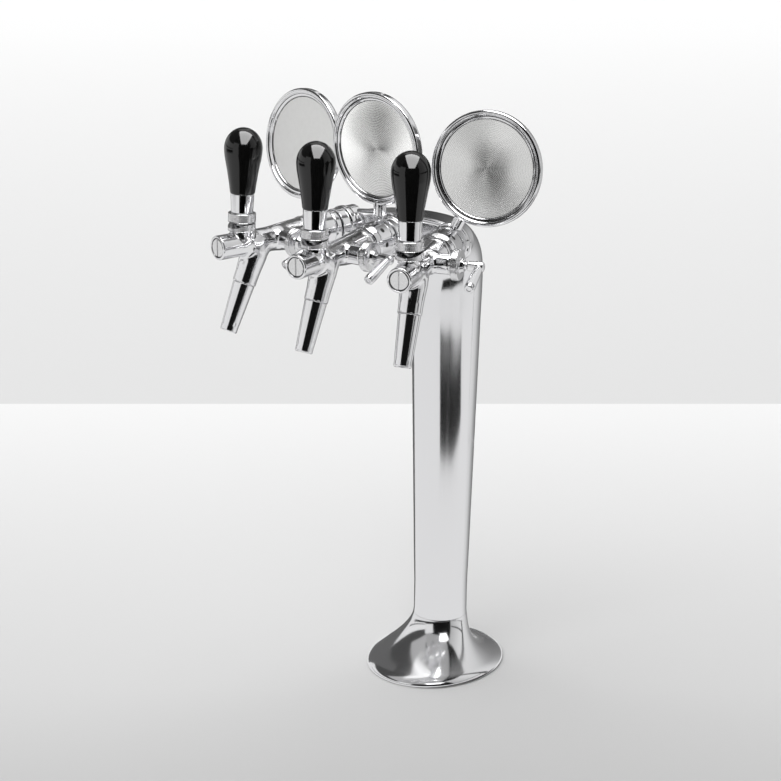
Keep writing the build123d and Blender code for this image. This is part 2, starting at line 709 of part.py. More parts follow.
def stem_shape(side):
    """The bracket's stem, from inside its ring to inside the badge's rim."""
    lean = BADGE_SET[side][0]
    reach = BADGE_REACH - BADGE_RADIUS + 4
    profile = (
        (0, SHANK_RADIUS + 3),
        (STEM_ROOT_RADIUS, SHANK_RADIUS + 3),
        (STEM_ROOT_RADIUS, PORT_RING_RADIUS + 0.5),
        (STEM_RADIUS, PORT_RING_RADIUS + 2.5),
        (STEM_RADIUS, reach),
        (0, reach),
    )
    return Pos(0, STEM_S, 0) * Rot(0, lean, 0) * turned_upright(profile)


def make_bracket(side):
    collar = ring(BRACKET_RADIUS, SHANK_RADIUS + 0.1, BRACKET_START_S + 0.2, BRACKET_END_S)
    collar = fillet(collar.edges().filter_by(GeomType.CIRCLE).group_by(SortBy.RADIUS)[-1], 1.4)
    return collar + stem_shape(side)


def turned_badge(profile):
    """A badge piece turned round its own axis, from (radius, depth) points."""
    return revolve(make_face(Polyline([(r, d, 0) for r, d in profile], close=True)), Axis.Y)


def make_badge_housing(side):
    front = -BADGE_THICKNESS / 2
    back = BADGE_THICKNESS / 2
    r = BADGE_RADIUS
    shape = turned_badge(
        (
            (0, back),
            (r - 7, back),
            (r - 2.2, back - 1.6),
            (r, back - 4.2),
            (r, front + 1.4),
            (r - 1.0, front + 0.4),
            (r - 2.4, front),
            (r - 3.6, front + 0.5),
            (r - 4.2, front + 1.7),
            (r - 5.6, front + 1.9),
            (BADGE_PLATE_RADIUS + 0.6, front + 2.5),
            (BADGE_PLATE_RADIUS + 0.2, front + 3.2),
            (BADGE_PLATE_RADIUS + 0.2, front + 5.0),
            (BADGE_PLATE_RADIUS - 3, front + 5.0),
            (BADGE_PLATE_RADIUS - 3, back - 2.4),
            (0, back - 2.4),
        )
    )
    return badge_frame(side) * shape - stem_shape(side)


def make_badge_plate(side):
    front = -BADGE_THICKNESS / 2 + 3.6
    plate = turned_badge(
        (
            (0, front),
            (BADGE_PLATE_RADIUS - 0.4, front),
            (BADGE_PLATE_RADIUS, front + 0.4),
            (BADGE_PLATE_RADIUS, front + 1.4),
            (0, front + 1.4),
        )
    )
    return badge_frame(side) * plate - stem_shape(side)


# ---- beer lines -------------------------------------------------------------------------------
def line_route(side):
    """Corner points and bend radii of a beer line, from its shank down to the base."""
    start = (tap_place(side) * Pos(0, PORT_END_S + 1, 0)).position
    if side == "middle":
        corners = [(0, -30, AXIS_Z), (0, 8, AXIS_Z - 27), (0, MIDDLE_LINE_Y, AXIS_Z - 62)]
        return [start, *corners, (0, MIDDLE_LINE_Y, LINE_END_Z)], [30.0, 35.0, 60.0]
    sign = SIDES[side]
    leave = (tap_place(side) * Pos(0, PORT_END_S + 14, 0)).position
    corners = [leave, (21 * sign, -12, AXIS_Z - 12), (SIDE_LINE_X * sign, SIDE_LINE_Y, AXIS_Z - 48)]
    return [start, *corners, (SIDE_LINE_X * sign, SIDE_LINE_Y, LINE_END_Z)], [18.0, 24.0, 40.0]


def make_line(side):
    points, radii = line_route(side)
    path = FilletPolyline(*points, radius=radii)
    mouth = Plane(origin=points[0], z_dir=Vector(*points[1]) - Vector(*points[0]))
    return sweep(mouth * (Circle(LINE_RADIUS) - Circle(LINE_BORE_RADIUS)), path=path)


def make_shank_seal():
    """The flat seal between a tap's tail and its shank."""
    return ring(TAIL_FLANGE_RADIUS - 0.6, 8.5, TAIL_END_S, TAIL_END_S + SEAL_THICKNESS)


def write(shape, node):
    if isinstance(shape, (list, tuple)):
        shape = Compound(children=list(shape))
    export_step(shape, "parts/" + node + ".step")


def main():
    os.makedirs("parts", exist_ok=True)
    write(make_base(), "base")
    write(make_base_plate(), "base_plate")
    write(make_plate_screws(), "plate_screws")
    write(make_gasket(), "base_gasket")
    write(make_column(), "column_head")
    makers = {
        "tap_body": make_tap_body,
        "end_cap": make_end_cap,
        "spout": make_spout,
        "bonnet": make_bonnet,
        "lever": make_lever,
        "lock_ring": make_lock_ring,
        "ferrule": make_ferrule,
        "grip": make_grip,
        "plunger": make_plunger,
        "compensator_gland": make_gland,
        "compensator_lever": make_compensator_lever,
        "compensator_cone": make_cone,
        "coupling_nut": make_coupling_nut,
        "shank": make_shank,
    }
    for name, make in makers.items():
        shape = make()
        for side in SIDES:
            write(tap_place(side) * shape, name + "_" + side)
    badge_makers = {
        "badge_bracket": make_bracket,
        "badge_housing": make_badge_housing,
        "badge_plate": make_badge_plate,
    }
    for name, make in badge_makers.items():
        for side in SIDES:
            write(tap_place(side) * make(side), name + "_" + side)
    write([make_line(side) for side in SIDES], "beer_lines")
    seal = make_shank_seal()
    write([tap_place(side) * seal for side in SIDES], "shank_seals")


main()
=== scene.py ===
import json
import math

import bpy
import numpy as np
from mathutils import Matrix, Vector

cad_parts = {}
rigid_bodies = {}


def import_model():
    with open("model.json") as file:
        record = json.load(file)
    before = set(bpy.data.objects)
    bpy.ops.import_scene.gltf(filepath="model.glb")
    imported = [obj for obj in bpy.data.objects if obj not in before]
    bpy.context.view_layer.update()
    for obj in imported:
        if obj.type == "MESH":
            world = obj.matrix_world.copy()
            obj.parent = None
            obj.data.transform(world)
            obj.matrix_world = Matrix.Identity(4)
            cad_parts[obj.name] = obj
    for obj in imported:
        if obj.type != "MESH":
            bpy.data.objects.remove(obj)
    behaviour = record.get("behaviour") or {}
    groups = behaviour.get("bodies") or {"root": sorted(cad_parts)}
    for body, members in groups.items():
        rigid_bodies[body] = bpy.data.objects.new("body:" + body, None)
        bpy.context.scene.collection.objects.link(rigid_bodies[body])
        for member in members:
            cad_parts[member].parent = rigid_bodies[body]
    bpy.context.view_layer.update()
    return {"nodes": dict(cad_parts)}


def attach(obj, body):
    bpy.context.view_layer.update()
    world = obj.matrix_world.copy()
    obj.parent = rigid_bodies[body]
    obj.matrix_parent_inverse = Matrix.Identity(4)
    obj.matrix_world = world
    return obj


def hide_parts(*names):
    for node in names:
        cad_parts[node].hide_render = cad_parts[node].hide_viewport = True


bl_info = {
    "name": "Beer tower",
    "version": (1, 0, 0),
    "blender": (4, 5, 0),
    "location": "View3D > Sidebar > Beer tower",
    "description": "Builds the outside of a three-way beer tower round its packed frame",
    "category": "Object",
}

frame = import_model()

SIDES = {"left": -1, "middle": 0, "right": 1}
MM = 0.001


# ---- settings ----
class TowerSizes(bpy.types.PropertyGroup):
    """Sizes that change the look and not how the tower fits together."""

    knurl_teeth: bpy.props.IntProperty(
        name="Knurl teeth", description="Teeth round each knurled ring", default=52, min=24, max=120
    )
    knurl_depth: bpy.props.FloatProperty(
        name="Knurl depth", description="Depth of the knurling", default=0.0005,
        unit="LENGTH", subtype="DISTANCE", precision=5,
    )
    casting_fillet: bpy.props.FloatProperty(
        name="Casting fillet", description="How softly the bosses run into the tap body",
        default=0.005, unit="LENGTH", subtype="DISTANCE",
    )
    seam_depth: bpy.props.FloatProperty(
        name="Seam depth", description="Depth of the fine seam between column and base",
        default=0.00006, unit="LENGTH", subtype="DISTANCE", precision=5,
    )


class TowerFinishes(bpy.types.PropertyGroup):
    """Colours and polish of the finishes."""

    chrome: bpy.props.FloatVectorProperty(
        name="Chrome", description="Colour of the polished chrome", default=(0.9, 0.9, 0.905),
        subtype="COLOR", min=0, max=1,
    )
    chrome_roughness: bpy.props.FloatProperty(
        name="Chrome roughness", description="Roughness of the polished chrome",
        default=0.035, min=0, max=1, subtype="FACTOR",
    )
    plate: bpy.props.FloatVectorProperty(
        name="Badge plate", description="Colour of the turned badge plates",
        default=(0.9, 0.9, 0.89), subtype="COLOR", min=0, max=1,
    )
    grip: bpy.props.FloatVectorProperty(
        name="Grip", description="Colour of the black grips", default=(0.004, 0.004, 0.004),
        subtype="COLOR", min=0, max=1,
    )
    grip_roughness: bpy.props.FloatProperty(
        name="Grip roughness", description="Roughness of the black grips", default=0.07,
        min=0, max=1, subtype="FACTOR",
    )


class StudioSettings(bpy.types.PropertyGroup):
    """The floor, the surroundings and the camera."""

    surround: bpy.props.FloatProperty(
        name="Surround", description="Brightness of the room round the tower", default=0.92, min=0
    )
    floor_reach: bpy.props.FloatProperty(
        name="Floor reach", description="Half width of the floor", default=12.0,
        unit="LENGTH", subtype="DISTANCE",
    )
    camera_turn: bpy.props.FloatProperty(
        name="Camera turn", description="How far round from the front the camera stands",
        default=math.radians(35.2), subtype="ANGLE",
    )
    camera_tilt: bpy.props.FloatProperty(
        name="Camera tilt", description="How far down the camera looks",
        default=math.radians(17.9), subtype="ANGLE",
    )
    lens: bpy.props.FloatProperty(
        name="Lens", description="Focal length of the camera", default=95.42, min=1
    )


def sizes():
    return bpy.context.scene.tower_sizes


def finishes():
    return bpy.context.scene.tower_finishes


def studio():
    return bpy.context.scene.tower_studio


# ---- places ----
# Millimetres and degrees. The taps fan out round a point behind the column's foot.
FAN_STEP, FAN_CENTRE_Y, FAN_RADIUS, TAP_HEIGHT = 15.9, 138, 352.5, 442
SPOUT_AT, SPOUT_LEAN = 43.7, 24
HANDLE_AT, PIVOT_HEIGHT, HANDLE_LEAN = 26.5, 14, 3
COMPENSATOR_AT = 66
BADGE_REACH, BADGE_BACK = 81, 5.5


def moved(x, y, z):
    return Matrix.Translation((x * MM, y * MM, z * MM))


def turned_by(degrees, axis):
    return Matrix.Rotation(math.radians(degrees), 4, axis)


def tap_place(side):
    """A tap's frame: origin on its front face, +Y back along its axis, +Z up."""
    turn = turned_by(FAN_STEP * SIDES[side], "Z")
    return moved(0, FAN_CENTRE_Y, TAP_HEIGHT) @ turn @ moved(0, -FAN_RADIUS, 0)


def spout_place():
    """In a tap's frame: origin on the tap's axis, +Z down the spout."""
    return moved(0, SPOUT_AT, 0) @ turned_by(180 - SPOUT_LEAN, "X")


def handle_place():
    """In a tap's frame: an upright piece leans back about the lever's pivot."""
    pivot = moved(0, HANDLE_AT, PIVOT_HEIGHT)
    return pivot @ turned_by(-HANDLE_LEAN, "X") @ moved(0, 0, -PIVOT_HEIGHT)


def across_place():
    """In a tap's frame: +Z runs out along the compensator's axis."""
    return moved(0, COMPENSATOR_AT, 0) @ turned_by(90, "Y")


# Lean of the stem, twist, tilt, and how far behind the tap's front the badge's back is.
BADGE_SET = {
    "left": (-29.0, 4.0, 7.0, 120),
    "middle": (-1.5, -6.0, -1.5, 117),
    "right": (27.5, -4.2, 7.5, 118),
}


def badge_place(side):
    """In a tap's frame: origin at the badge's centre, +Z out of its front."""
    lean, twist, tilt, back = BADGE_SET[side]
    lean = math.radians(lean)
    centre = moved(BADGE_REACH * math.sin(lean), back + BADGE_BACK, BADGE_REACH * math.cos(lean))
    return centre @ turned_by(twist, "Z") @ turned_by(-tilt, "X") @ turned_by(90, "X")


AXIAL = turned_by(-90, "X")  # +Z of a turned piece runs back along the tap


# ---- mesh making ----
def mesh_from(name, points, faces, sharp=40):
    mesh = bpy.data.meshes.new(name)
    mesh.from_pydata([tuple(p) for p in points], [], [tuple(f) for f in faces])
    mesh.update()
    mesh.shade_smooth()
    mesh.set_sharp_from_angle(angle=math.radians(sharp))
    return mesh


def softened(profile, steps=4):
    """Round the corners of (radius, height, corner radius) points, all in millimetres."""
    out = []
    for i, (r, h, soft) in enumerate(profile):
        if not soft or i in (0, len(profile) - 1):
            out.append((r, h))
            continue
        here = Vector((r, h))
        before = Vector(profile[i - 1][:2]) - here
        after = Vector(profile[i + 1][:2]) - here
        reach = min(soft, before.length * 0.45, after.length * 0.45)
        a, b = here + before.normalized() * reach, here + after.normalized() * reach
        for k in range(steps + 1):
            t = k / steps
            out.append(tuple((1 - t) ** 2 * a + 2 * t * (1 - t) * here + t * t * b))
    return out


def turned(name, profile, around=96, steps=4, teeth=None, place=None, sharp=40):
    """A piece turned about +Z from (radius, height, corner radius) points in millimetres.

    teeth(radius, height, angle) may change the radius, for knurling.
    """
    rings = softened(profile, steps)
    points, faces, rows = [], [], []
    for r, h in rings:
        if r < 1e-6:
            rows.append([len(points)])
            points.append((0, 0, h * MM))
            continue
        row = []
        for k in range(around):
            angle = 2 * math.pi * k / around
            radius = (teeth(r, h, angle) if teeth else r) * MM
            row.append(len(points))
            points.append((radius * math.cos(angle), radius * math.sin(angle), h * MM))
        rows.append(row)
    for low, high in zip(rows, rows[1:]):
        for k in range(around):
            n = (k + 1) % around
            if len(low) == 1 and len(high) == 1:
                continue
            if len(low) == 1:
                faces.append((low[0], high[n], high[k]))
            elif len(high) == 1:
                faces.append((low[k], low[n], high[0]))
            else:
                faces.append((low[k], low[n], high[n], high[k]))
    if place is not None:
        points = [place @ Vector(p) for p in points]
    return mesh_from(name, points, faces, sharp)


def joined(name, *meshes):
    """Several meshes as one."""
    points, faces = [], []
    for mesh in meshes:
        start = len(points)
        points += [tuple(v.co) for v in mesh.vertices]
        faces += [[start + i for i in p.vertices] for p in mesh.polygons]
    return mesh_from(name, points, faces)


def spaced(start, end, count):
    return [start + (end - start) * i / (count - 1) for i in range(count)]


def knurled(low, high, edge=0.45):
    """A radius change that cuts crossed teeth between two heights, in millimetres."""
    count = sizes().knurl_teeth
    depth = sizes().knurl_depth * 1000
    lead = count * 0.09

    def teeth(r, h, angle):
        if h <= low + edge or h >= high - edge:
            return r
        u = angle * count / (2 * math.pi)
        v = (h - low) * lead / 4.2
        ridge = abs((u + v) % 1 - 0.5) + abs((u - v) % 1 - 0.5)
        return r - depth * (1 - ridge)

    return teeth


# ---- piece making ----
def add_piece(name, mesh, body, material, nodes=(), place=None):
    piece = bpy.data.objects.new(name, mesh)
    bpy.context.scene.collection.objects.link(piece)
    if place is not None:
        piece.matrix_world = place
    if not mesh.materials:
        mesh.materials.append(material)
    fix = piece.modifiers.new("even_shading", "WEIGHTED_NORMAL")
    fix.keep_sharp = True
    fix.weight = 80
    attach(piece, body)
    if nodes:
        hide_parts(*nodes)
    return piece


def add_to_taps(stem, mesh, body, material, node=None, local=None):
    """The same piece on all three taps. body may hold {side}."""
    made = []
    for side in SIDES:
        place = tap_place(side) @ local if local is not None else tap_place(side)
        nodes = [f"{node}_{side}"] if node else []
        made.append(
            add_piece(f"{stem}_{side}", mesh, body.format(side=side), material, nodes, place)
        )
    return made


# ---- materials ----
def material(name):
    """The named finish, made on first use."""
    found = bpy.data.materials.get(name)
    return found if found else FINISH_MAKERS[name](name)


def start_finish(name):
    made = bpy.data.materials.new(name)
    made.use_nodes = True
    tree = made.node_tree
    return made, tree, tree.nodes["Principled BSDF"]


def node(tree, kind, **settings):
    made = tree.nodes.new(kind)
    for key, value in settings.items():
        if key in made.inputs:
            made.inputs[key].default_value = value
        else:
            setattr(made, key, value)
    return made


def object_coords(tree):
    return tree.nodes.new("ShaderNodeTexCoord").outputs["Object"]


def noise(tree, scale, detail=3.0, rough=0.5):
    made = node(tree, "ShaderNodeTexNoise", Scale=scale, Detail=detail, Roughness=rough)
    tree.links.new(object_coords(tree), made.inputs["Vector"])
    return made.outputs["Fac"]


def spread(tree, value, low, high):
    made = node(tree, "ShaderNodeMapRange")
    made.inputs["From Min"].default_value = 0.3
    made.inputs["From Max"].default_value = 0.7
    made.inputs["To Min"].default_value = low
    made.inputs["To Max"].default_value = high
    tree.links.new(value, made.inputs["Value"])
    return made.outputs["Result"]


def shaded(tree, value, low, high):
    """A colour that runs between two colours with a value."""
    ramp = tree.nodes.new("ShaderNodeValToRGB")
    ramp.color_ramp.elements[0].position = 0.3
    ramp.color_ramp.elements[1].position = 0.7
    ramp.color_ramp.elements[0].color = (*low, 1)
    ramp.color_ramp.elements[1].color = (*high, 1)
    tree.links.new(value, ramp.inputs["Fac"])
    return ramp.outputs["Color"]


def bumped(tree, shader, height, strength, distance):
    bump = node(tree, "ShaderNodeBump", Strength=strength, Distance=distance)
    tree.links.new(height, bump.inputs["Height"])
    tree.links.new(bump.outputs["Normal"], shader.inputs["Normal"])


def scaled(colour, by):
    return tuple(min(1.0, c * by) for c in colour)


def chrome_finish(name, roughness=None, tint=1.0, swing=0.02, bump=0.02, metal=1.0):
    made, tree, shader = start_finish(name)
    rough = finishes().chrome_roughness if roughness is None else roughness
    colour = scaled(finishes().chrome, tint)
    shader.inputs["Metallic"].default_value = metal
    cloudy = noise(tree, 42.0, 4.0)
    tree.links.new(shaded(tree, cloudy, scaled(colour, 0.985), colour), shader.inputs["Base Color"])
    fine = noise(tree, 900.0, 2.0)
    tree.links.new(spread(tree, fine, rough, rough + swing), shader.inputs["Roughness"])
    bumped(tree, shader, noise(tree, 16.0, 1.0), bump, 0.0004)
    return made


def polished_chrome(name):
    return chrome_finish(name)


def knurled_chrome(name):
    return chrome_finish(name, roughness=0.42, tint=1.05, swing=0.12, bump=0.0, metal=0.3)


def machined_steel(name):
    return chrome_finish(name, roughness=0.26, tint=0.8, swing=0.1, bump=0.0)


def steel_face(name):
    """The end caps' finely turned steel, brighter than the plain machined one."""
    return chrome_finish(name, roughness=0.2, tint=0.9, swing=0.08, bump=0.0)


def turned_plate(name):
    """Fine circles round the plate's own centre, cut by a lathe."""
    made, tree, shader = start_finish(name)
    colour = scaled(finishes().plate, 0.92)
    shader.inputs["Metallic"].default_value = 1.0
    shader.inputs["Anisotropic"].default_value = 0.82
    tangent = node(tree, "ShaderNodeTangent", direction_type="RADIAL", axis="Z")
    tree.links.new(tangent.outputs["Tangent"], shader.inputs["Tangent"])
    rings = node(tree, "ShaderNodeTexWave", wave_type="RINGS", rings_direction="Z",
                 Scale=222.0, Distortion=1.5, Detail=4.0)
    rings.inputs["Detail Scale"].default_value = 6.0
    tree.links.new(object_coords(tree), rings.inputs["Vector"])
    grooves = rings.outputs["Fac"]
    tree.links.new(shaded(tree, grooves, scaled(colour, 0.84), colour), shader.inputs["Base Color"])
    tree.links.new(spread(tree, grooves, 0.25, 0.28), shader.inputs["Roughness"])
    return made


def satin_plate(name):
    """A plain rolled plate."""
    made, tree, shader = start_finish(name)
    colour = scaled(finishes().plate, 0.7)
    shader.inputs["Metallic"].default_value = 1.0
    fine = noise(tree, 260.0, 5.0, 0.7)
    tree.links.new(shaded(tree, fine, scaled(colour, 0.93), colour), shader.inputs["Base Color"])
    tree.links.new(spread(tree, fine, 0.34, 0.44), shader.inputs["Roughness"])
    bumped(tree, shader, fine, 0.05, 0.0001)
    return made


def black_grip(name):
    made, tree, shader = start_finish(name)
    colour = tuple(finishes().grip)
    rough = finishes().grip_roughness
    smear = noise(tree, 30.0, 4.0)
    tree.links.new(shaded(tree, smear, colour, scaled(colour, 1.6)), shader.inputs["Base Color"])
    tree.links.new(spread(tree, smear, rough, rough + 0.05), shader.inputs["Roughness"])
    shader.inputs["IOR"].default_value = 1.48
    bumped(tree, shader, noise(tree, 900.0, 2.0), 0.02, 0.0001)
    return made


def dull_finish(name, low, high, roughness):
    made, tree, shader = start_finish(name)
    grain = noise(tree, 120.0, 5.0, 0.6)
    tree.links.new(shaded(tree, grain, low, high), shader.inputs["Base Color"])
    tree.links.new(spread(tree, grain, roughness, roughness + 0.1), shader.inputs["Roughness"])
    bumped(tree, shader, grain, 0.1, 0.0002)
    return made


def gasket_rubber(name):
    return dull_finish(name, (0.018, 0.018, 0.018), (0.03, 0.03, 0.03), 0.7)


def white_plastic(name):
    return dull_finish(name, (0.78, 0.78, 0.76), (0.84, 0.84, 0.82), 0.42)


def line_tubing(name):
    return dull_finish(name, (0.7, 0.73, 0.73), (0.8, 0.82, 0.82), 0.3)


def zinc_plate(name):
    """Zinc-plated steel with its faint spangle."""
    made, tree, shader = start_finish(name)
    shader.inputs["Metallic"].default_value = 1.0
    spangle = node(tree, "ShaderNodeTexVoronoi", Scale=90.0)
    tree.links.new(object_coords(tree), spangle.inputs["Vector"])
    flake = spangle.outputs["Distance"]
    colours = shaded(tree, flake, (0.5, 0.52, 0.54), (0.62, 0.63, 0.64))
    tree.links.new(colours, shader.inputs["Base Color"])
    tree.links.new(spread(tree, flake, 0.3, 0.42), shader.inputs["Roughness"])
    return made


FINISH_MAKERS = {
    "polished_chrome": polished_chrome,
    "knurled_chrome": knurled_chrome,
    "machined_steel": machined_steel,
    "steel_face": steel_face,
    "turned_plate": turned_plate,
    "satin_plate": satin_plate,
    "black_grip": black_grip,
    "gasket_rubber": gasket_rubber,
    "white_plastic": white_plastic,
    "line_tubing": line_tubing,
    "zinc_plate": zinc_plate,
}

CARRIED_OVER = {
    "base_plate": "zinc_plate",
    "plate_screws": "machined_steel",
    "base_gasket": "gasket_rubber",
    "shank_seals": "gasket_rubber",
    "beer_lines": "line_tubing",
    "end_cap": "steel_face",
    "lever": "machined_steel",
    "plunger": "machined_steel",
    "compensator_cone": "white_plastic",
    "shank": "machined_steel",
}


# ---- column, head and base ----
# Millimetres.
FOOT_HALF_WIDTH, FOOT_HALF_DEPTH, FOOT_TOP = 64.0, 72.0, 48
NECK_HALF_WIDTH, NECK_Y = 25.8, 8.5
STRAIGHT_FROM, STRAIGHT_LENGTH = 74, 312
BEND_Y, BEND_Z = -35, 386
HEAD_HALF_WIDTH = 58


def smooth_path(knots, values, at):
    """Values at a place between knots, by a natural cubic through them."""
    knots, values = np.asarray(knots, float), np.asarray(values, float)
    n = len(knots)
    gap = np.diff(knots)
    slope = np.diff(values, axis=0) / gap[:, None]
    system, right = np.zeros((n, n)), np.zeros((n, values.shape[1]))
    system[0, 0] = system[-1, -1] = 1
    for i in range(1, n - 1):
        system[i, i - 1 : i + 2] = gap[i - 1], 2 * (gap[i - 1] + gap[i]), gap[i]
        right[i] = 6 * (slope[i] - slope[i - 1])
    curve = np.linalg.solve(system, right)
    at = np.asarray(at, float)
    i = np.clip(np.searchsorted(knots, at, side="right") - 1, 0, n - 2)
    a, b = (knots[i + 1] - at), (at - knots[i])
    g = gap[i]
    return (
        (curve[i] * (a**3)[:, None] + curve[i + 1] * (b**3)[:, None]) / (6 * g[:, None])
        + (values[i] / g[:, None] - curve[i] * g[:, None] / 6) * a[:, None]
        + (values[i + 1] / g[:, None] - curve[i + 1] * g[:, None] / 6) * b[:, None]
    )


def column_sections():
    """Rows of (y, z, turn, half width, half depth, power), in millimetres, up and round the bend."""
    rows = []
    straight = [STRAIGHT_FROM + STRAIGHT_LENGTH * i / 10 for i in range(11)]
    for z in [FOOT_TOP, 50.5, 53, 58, 66] + straight:
        widen = max(0, z - STRAIGHT_FROM) / STRAIGHT_LENGTH
        half_width, half_depth, y = flare_row(z)
        y += 7.0 * (z - FOOT_TOP) / (BEND_Z - FOOT_TOP)
        rows.append((y, z, 0, half_width + 7.8 * widen, half_depth + 7.2 * widen, 2.0))
    bend = (
        (22, 17.5, 84.5, 34.2, 2.0), (45, 19, 77.5, 36, 2.1),
        (68, 24, 70.5, 43.5, 2.2), (90, 31, 72, HEAD_HALF_WIDTH, 2.4),
    )
    for turn, near, far, half_width, power in bend:
        centre, angle = (near + far) / 2, math.radians(turn)
        y, z = BEND_Y + centre * math.cos(angle), BEND_Z + centre * math.sin(angle)
        rows.append((y, z, turn, half_width, (far - near) / 2, power))
    for part, power in ((0.55, 2.6), (1.0, 2.8)):
        width = HEAD_HALF_WIDTH + 17 * part
        rows.append((BEND_Y - 29 * part, 437.5 + 1.5 * part, 90, width, 20.5, power))
    return rows


def squircle_ring(row, around, inset=0.0):
    """A ring of points in millimetres: an ellipse that squares up as its power grows."""
    y, z, turn, half_width, half_depth, power = row
    angle = math.radians(turn)
    ring = []
    for k in range(around):
        t = 2 * math.pi * k / around
        c, s = math.cos(t), math.sin(t)
        a = (half_width - inset) * math.copysign(abs(c) ** (2 / power), c)
        b = (half_depth - inset) * math.copysign(abs(s) ** (2 / power), s)
        ring.append((a, y + b * math.cos(angle), z + b * math.sin(angle)))
    return ring


def evened(ring):
    """The ring's points moved to equal steps along it."""
    loop = np.array(ring + ring[:1])
    along = np.concatenate([[0], np.cumsum(np.linalg.norm(np.diff(loop, axis=0), axis=1))])
    want = np.linspace(0, along[-1], len(ring), endpoint=False)
    return np.stack([np.interp(want, along, loop[:, i]) for i in range(3)], axis=1)


def skin(rings):
    """Points and faces of a skin over rings of equal count, closed with centre points."""
    around = len(rings[0])
    points = [tuple(p) for ring in rings for p in ring]
    faces = []
    for i in range(len(rings) - 1):
        for k in range(around):
            n = (k + 1) % around
            a, b = i * around, (i + 1) * around
            faces.append((a + k, a + n, b + n, b + k))
    for first, flip in ((0, True), (len(rings) - 1, False)):
        last = len(points)
        points.append(tuple(np.mean(np.array(rings[first]), axis=0)))
        for k in range(around):
            a, b = first * around + k, first * around + (k + 1) % around
            faces.append((b, a, last) if flip else (a, b, last))
    return points, faces


def column_mesh(around=144, count=150):
    rows = column_sections()
    along = [0.0]
    for a, b in zip(rows, rows[1:]):
        along.append(along[-1] + math.dist(a[:2], b[:2]))
    fine = smooth_path(along, rows, np.linspace(0, along[-1], count))
    rings = []
    seam = sizes().seam_depth * 1000
    for i, row in enumerate(fine):
        inset = seam * 1.5 if i == 0 else 0.0
        rings.append(evened(squircle_ring(tuple(row), around, inset)))
        if i == 0:
            low = np.array(fine[0])
            low[1] += 0.35
            rings.append(evened(squircle_ring(tuple(low), around)))
    last = np.array(fine[-1])
    rings.pop()
    for back, inset in ((5.0, 0.0), (3.4, 0.25), (1.9, 1.0), (0.8, 2.1), (0.2, 3.4), (0.0, 5.0)):
        edge = last.copy()
        edge[0] += back
        rings.append(evened(squircle_ring(tuple(edge), around, inset)))
    points, faces = skin([np.array(r) * MM for r in rings])
    return mesh_from("column_shell", points, faces, 50)


def port_mesh():
    profile = (
        (15.4, 127.6, 0), (16.4, 127.6, 0.8), (16.4, 135.4, 0.5), (17.2, 136.2, 0.4),
        (18.0, 137.0, 0.9), (18.0, 141.0, 0.9), (17.0, 142.6, 0.5), (17.4, 152.0, 0),
    )
    ring = turned("port_ring", profile, 112)
    cap = turned("port_face", ((7.9, 127.6, 0), (15.4, 127.6, 0)), 112)
    return joined("port", ring, cap)


def flare_row(z):
    """Half width, half depth and centre of the flare's section at a height, in millimetres."""
    out = (max(0, 53 - z) / 47.8) ** 2
    halfway = 4 * out * (1 - out)
    rise = min(1, max(0, z - 5.2) / 42.8)
    half_width = NECK_HALF_WIDTH + 38.2 * out
    half_depth = NECK_HALF_WIDTH + 46.2 * out - 9 * halfway
    return half_width, half_depth, NECK_Y * rise**2 * (3 - 2 * rise) - 4.5 * halfway


def oval_ring(half_width, half_depth, y, z, around):
    turn = np.linspace(0, 2 * math.pi, around, endpoint=False)
    return np.stack([half_width * np.cos(turn), y + half_depth * np.sin(turn), z + 0 * turn], axis=1)


def base_mesh(around=176):
    """The base: an upright rim that rounds over, tangent to the flare above it."""
    low = oval_ring(*flare_row(9.0), 9.0, around)
    run = (oval_ring(*flare_row(9.1), 9.1, around) - low) / 0.1
    size = np.array([FOOT_HALF_WIDTH, FOOT_HALF_DEPTH])
    a = ((run[:, :2] / size) ** 2).sum(axis=1)
    b = 2 * (low[:, :2] * run[:, :2] / size**2).sum(axis=1)
    c = ((low[:, :2] / size) ** 2).sum(axis=1) - 1
    corner = low + run * ((-b - np.sqrt(b * b - 4 * a * c)) / (2 * a))[:, None]
    wall = corner.copy()
    wall[:, 2] = 1.9

    def drawn_in(inset, z):
        ring = wall * (1 - inset / 68.0)
        ring[:, 2] = z
        return ring

    rings = [drawn_in(6.4, 6.9), drawn_in(6.4, 1.4), drawn_in(6.0, 1.0), drawn_in(1.1, 1.0)]
    for t in (0.25, 0.5, 0.75):
        turn = math.radians(90 * t)
        rings.append(drawn_in(0.6 - 0.6 * math.sin(turn), 1.6 - 0.6 * math.cos(turn)))
    rings += [wall + (0, 0, -0.3)]
    for k in range(11):
        t = k / 10
        rings.append((1 - t) ** 2 * wall + 2 * t * (1 - t) * corner + t * t * low)
    rings += [oval_ring(*flare_row(z), z, around) for z in spaced(9.9, 47.75, 46)]
    half_width, half_depth, y = flare_row(47.9)
    seam = sizes().seam_depth * 1000
    rings.append(oval_ring(half_width - seam, half_depth - seam, y, 47.92, around))
    rings.append(oval_ring(22.5, 22.5, NECK_Y, 47.92, around))
    points, faces = skin([ring * MM for ring in rings])
    return mesh_from("base_shell", points, faces, 55)


class TOWER_OT_base(bpy.types.Operator):
    """Build the flared base with its rounded rim"""

    bl_idname = "tower.base"
    bl_label = "Base"

    def execute(self, context):
        chrome = material("polished_chrome")
        add_piece("base_shell", base_mesh(), "tower", chrome, ["base"])
        return {"FINISHED"}


class TOWER_OT_column(bpy.types.Operator):
    """Build the column, the head it bends into and the three ports"""

    bl_idname = "tower.column"
    bl_label = "Column and head"

    def execute(self, context):
        chrome = material("polished_chrome")
        add_piece("column_shell", column_mesh(), "tower", chrome, ["column_head"])
        add_to_taps("port", port_mesh(), "tower", chrome, local=AXIAL)
        return {"FINISHED"}


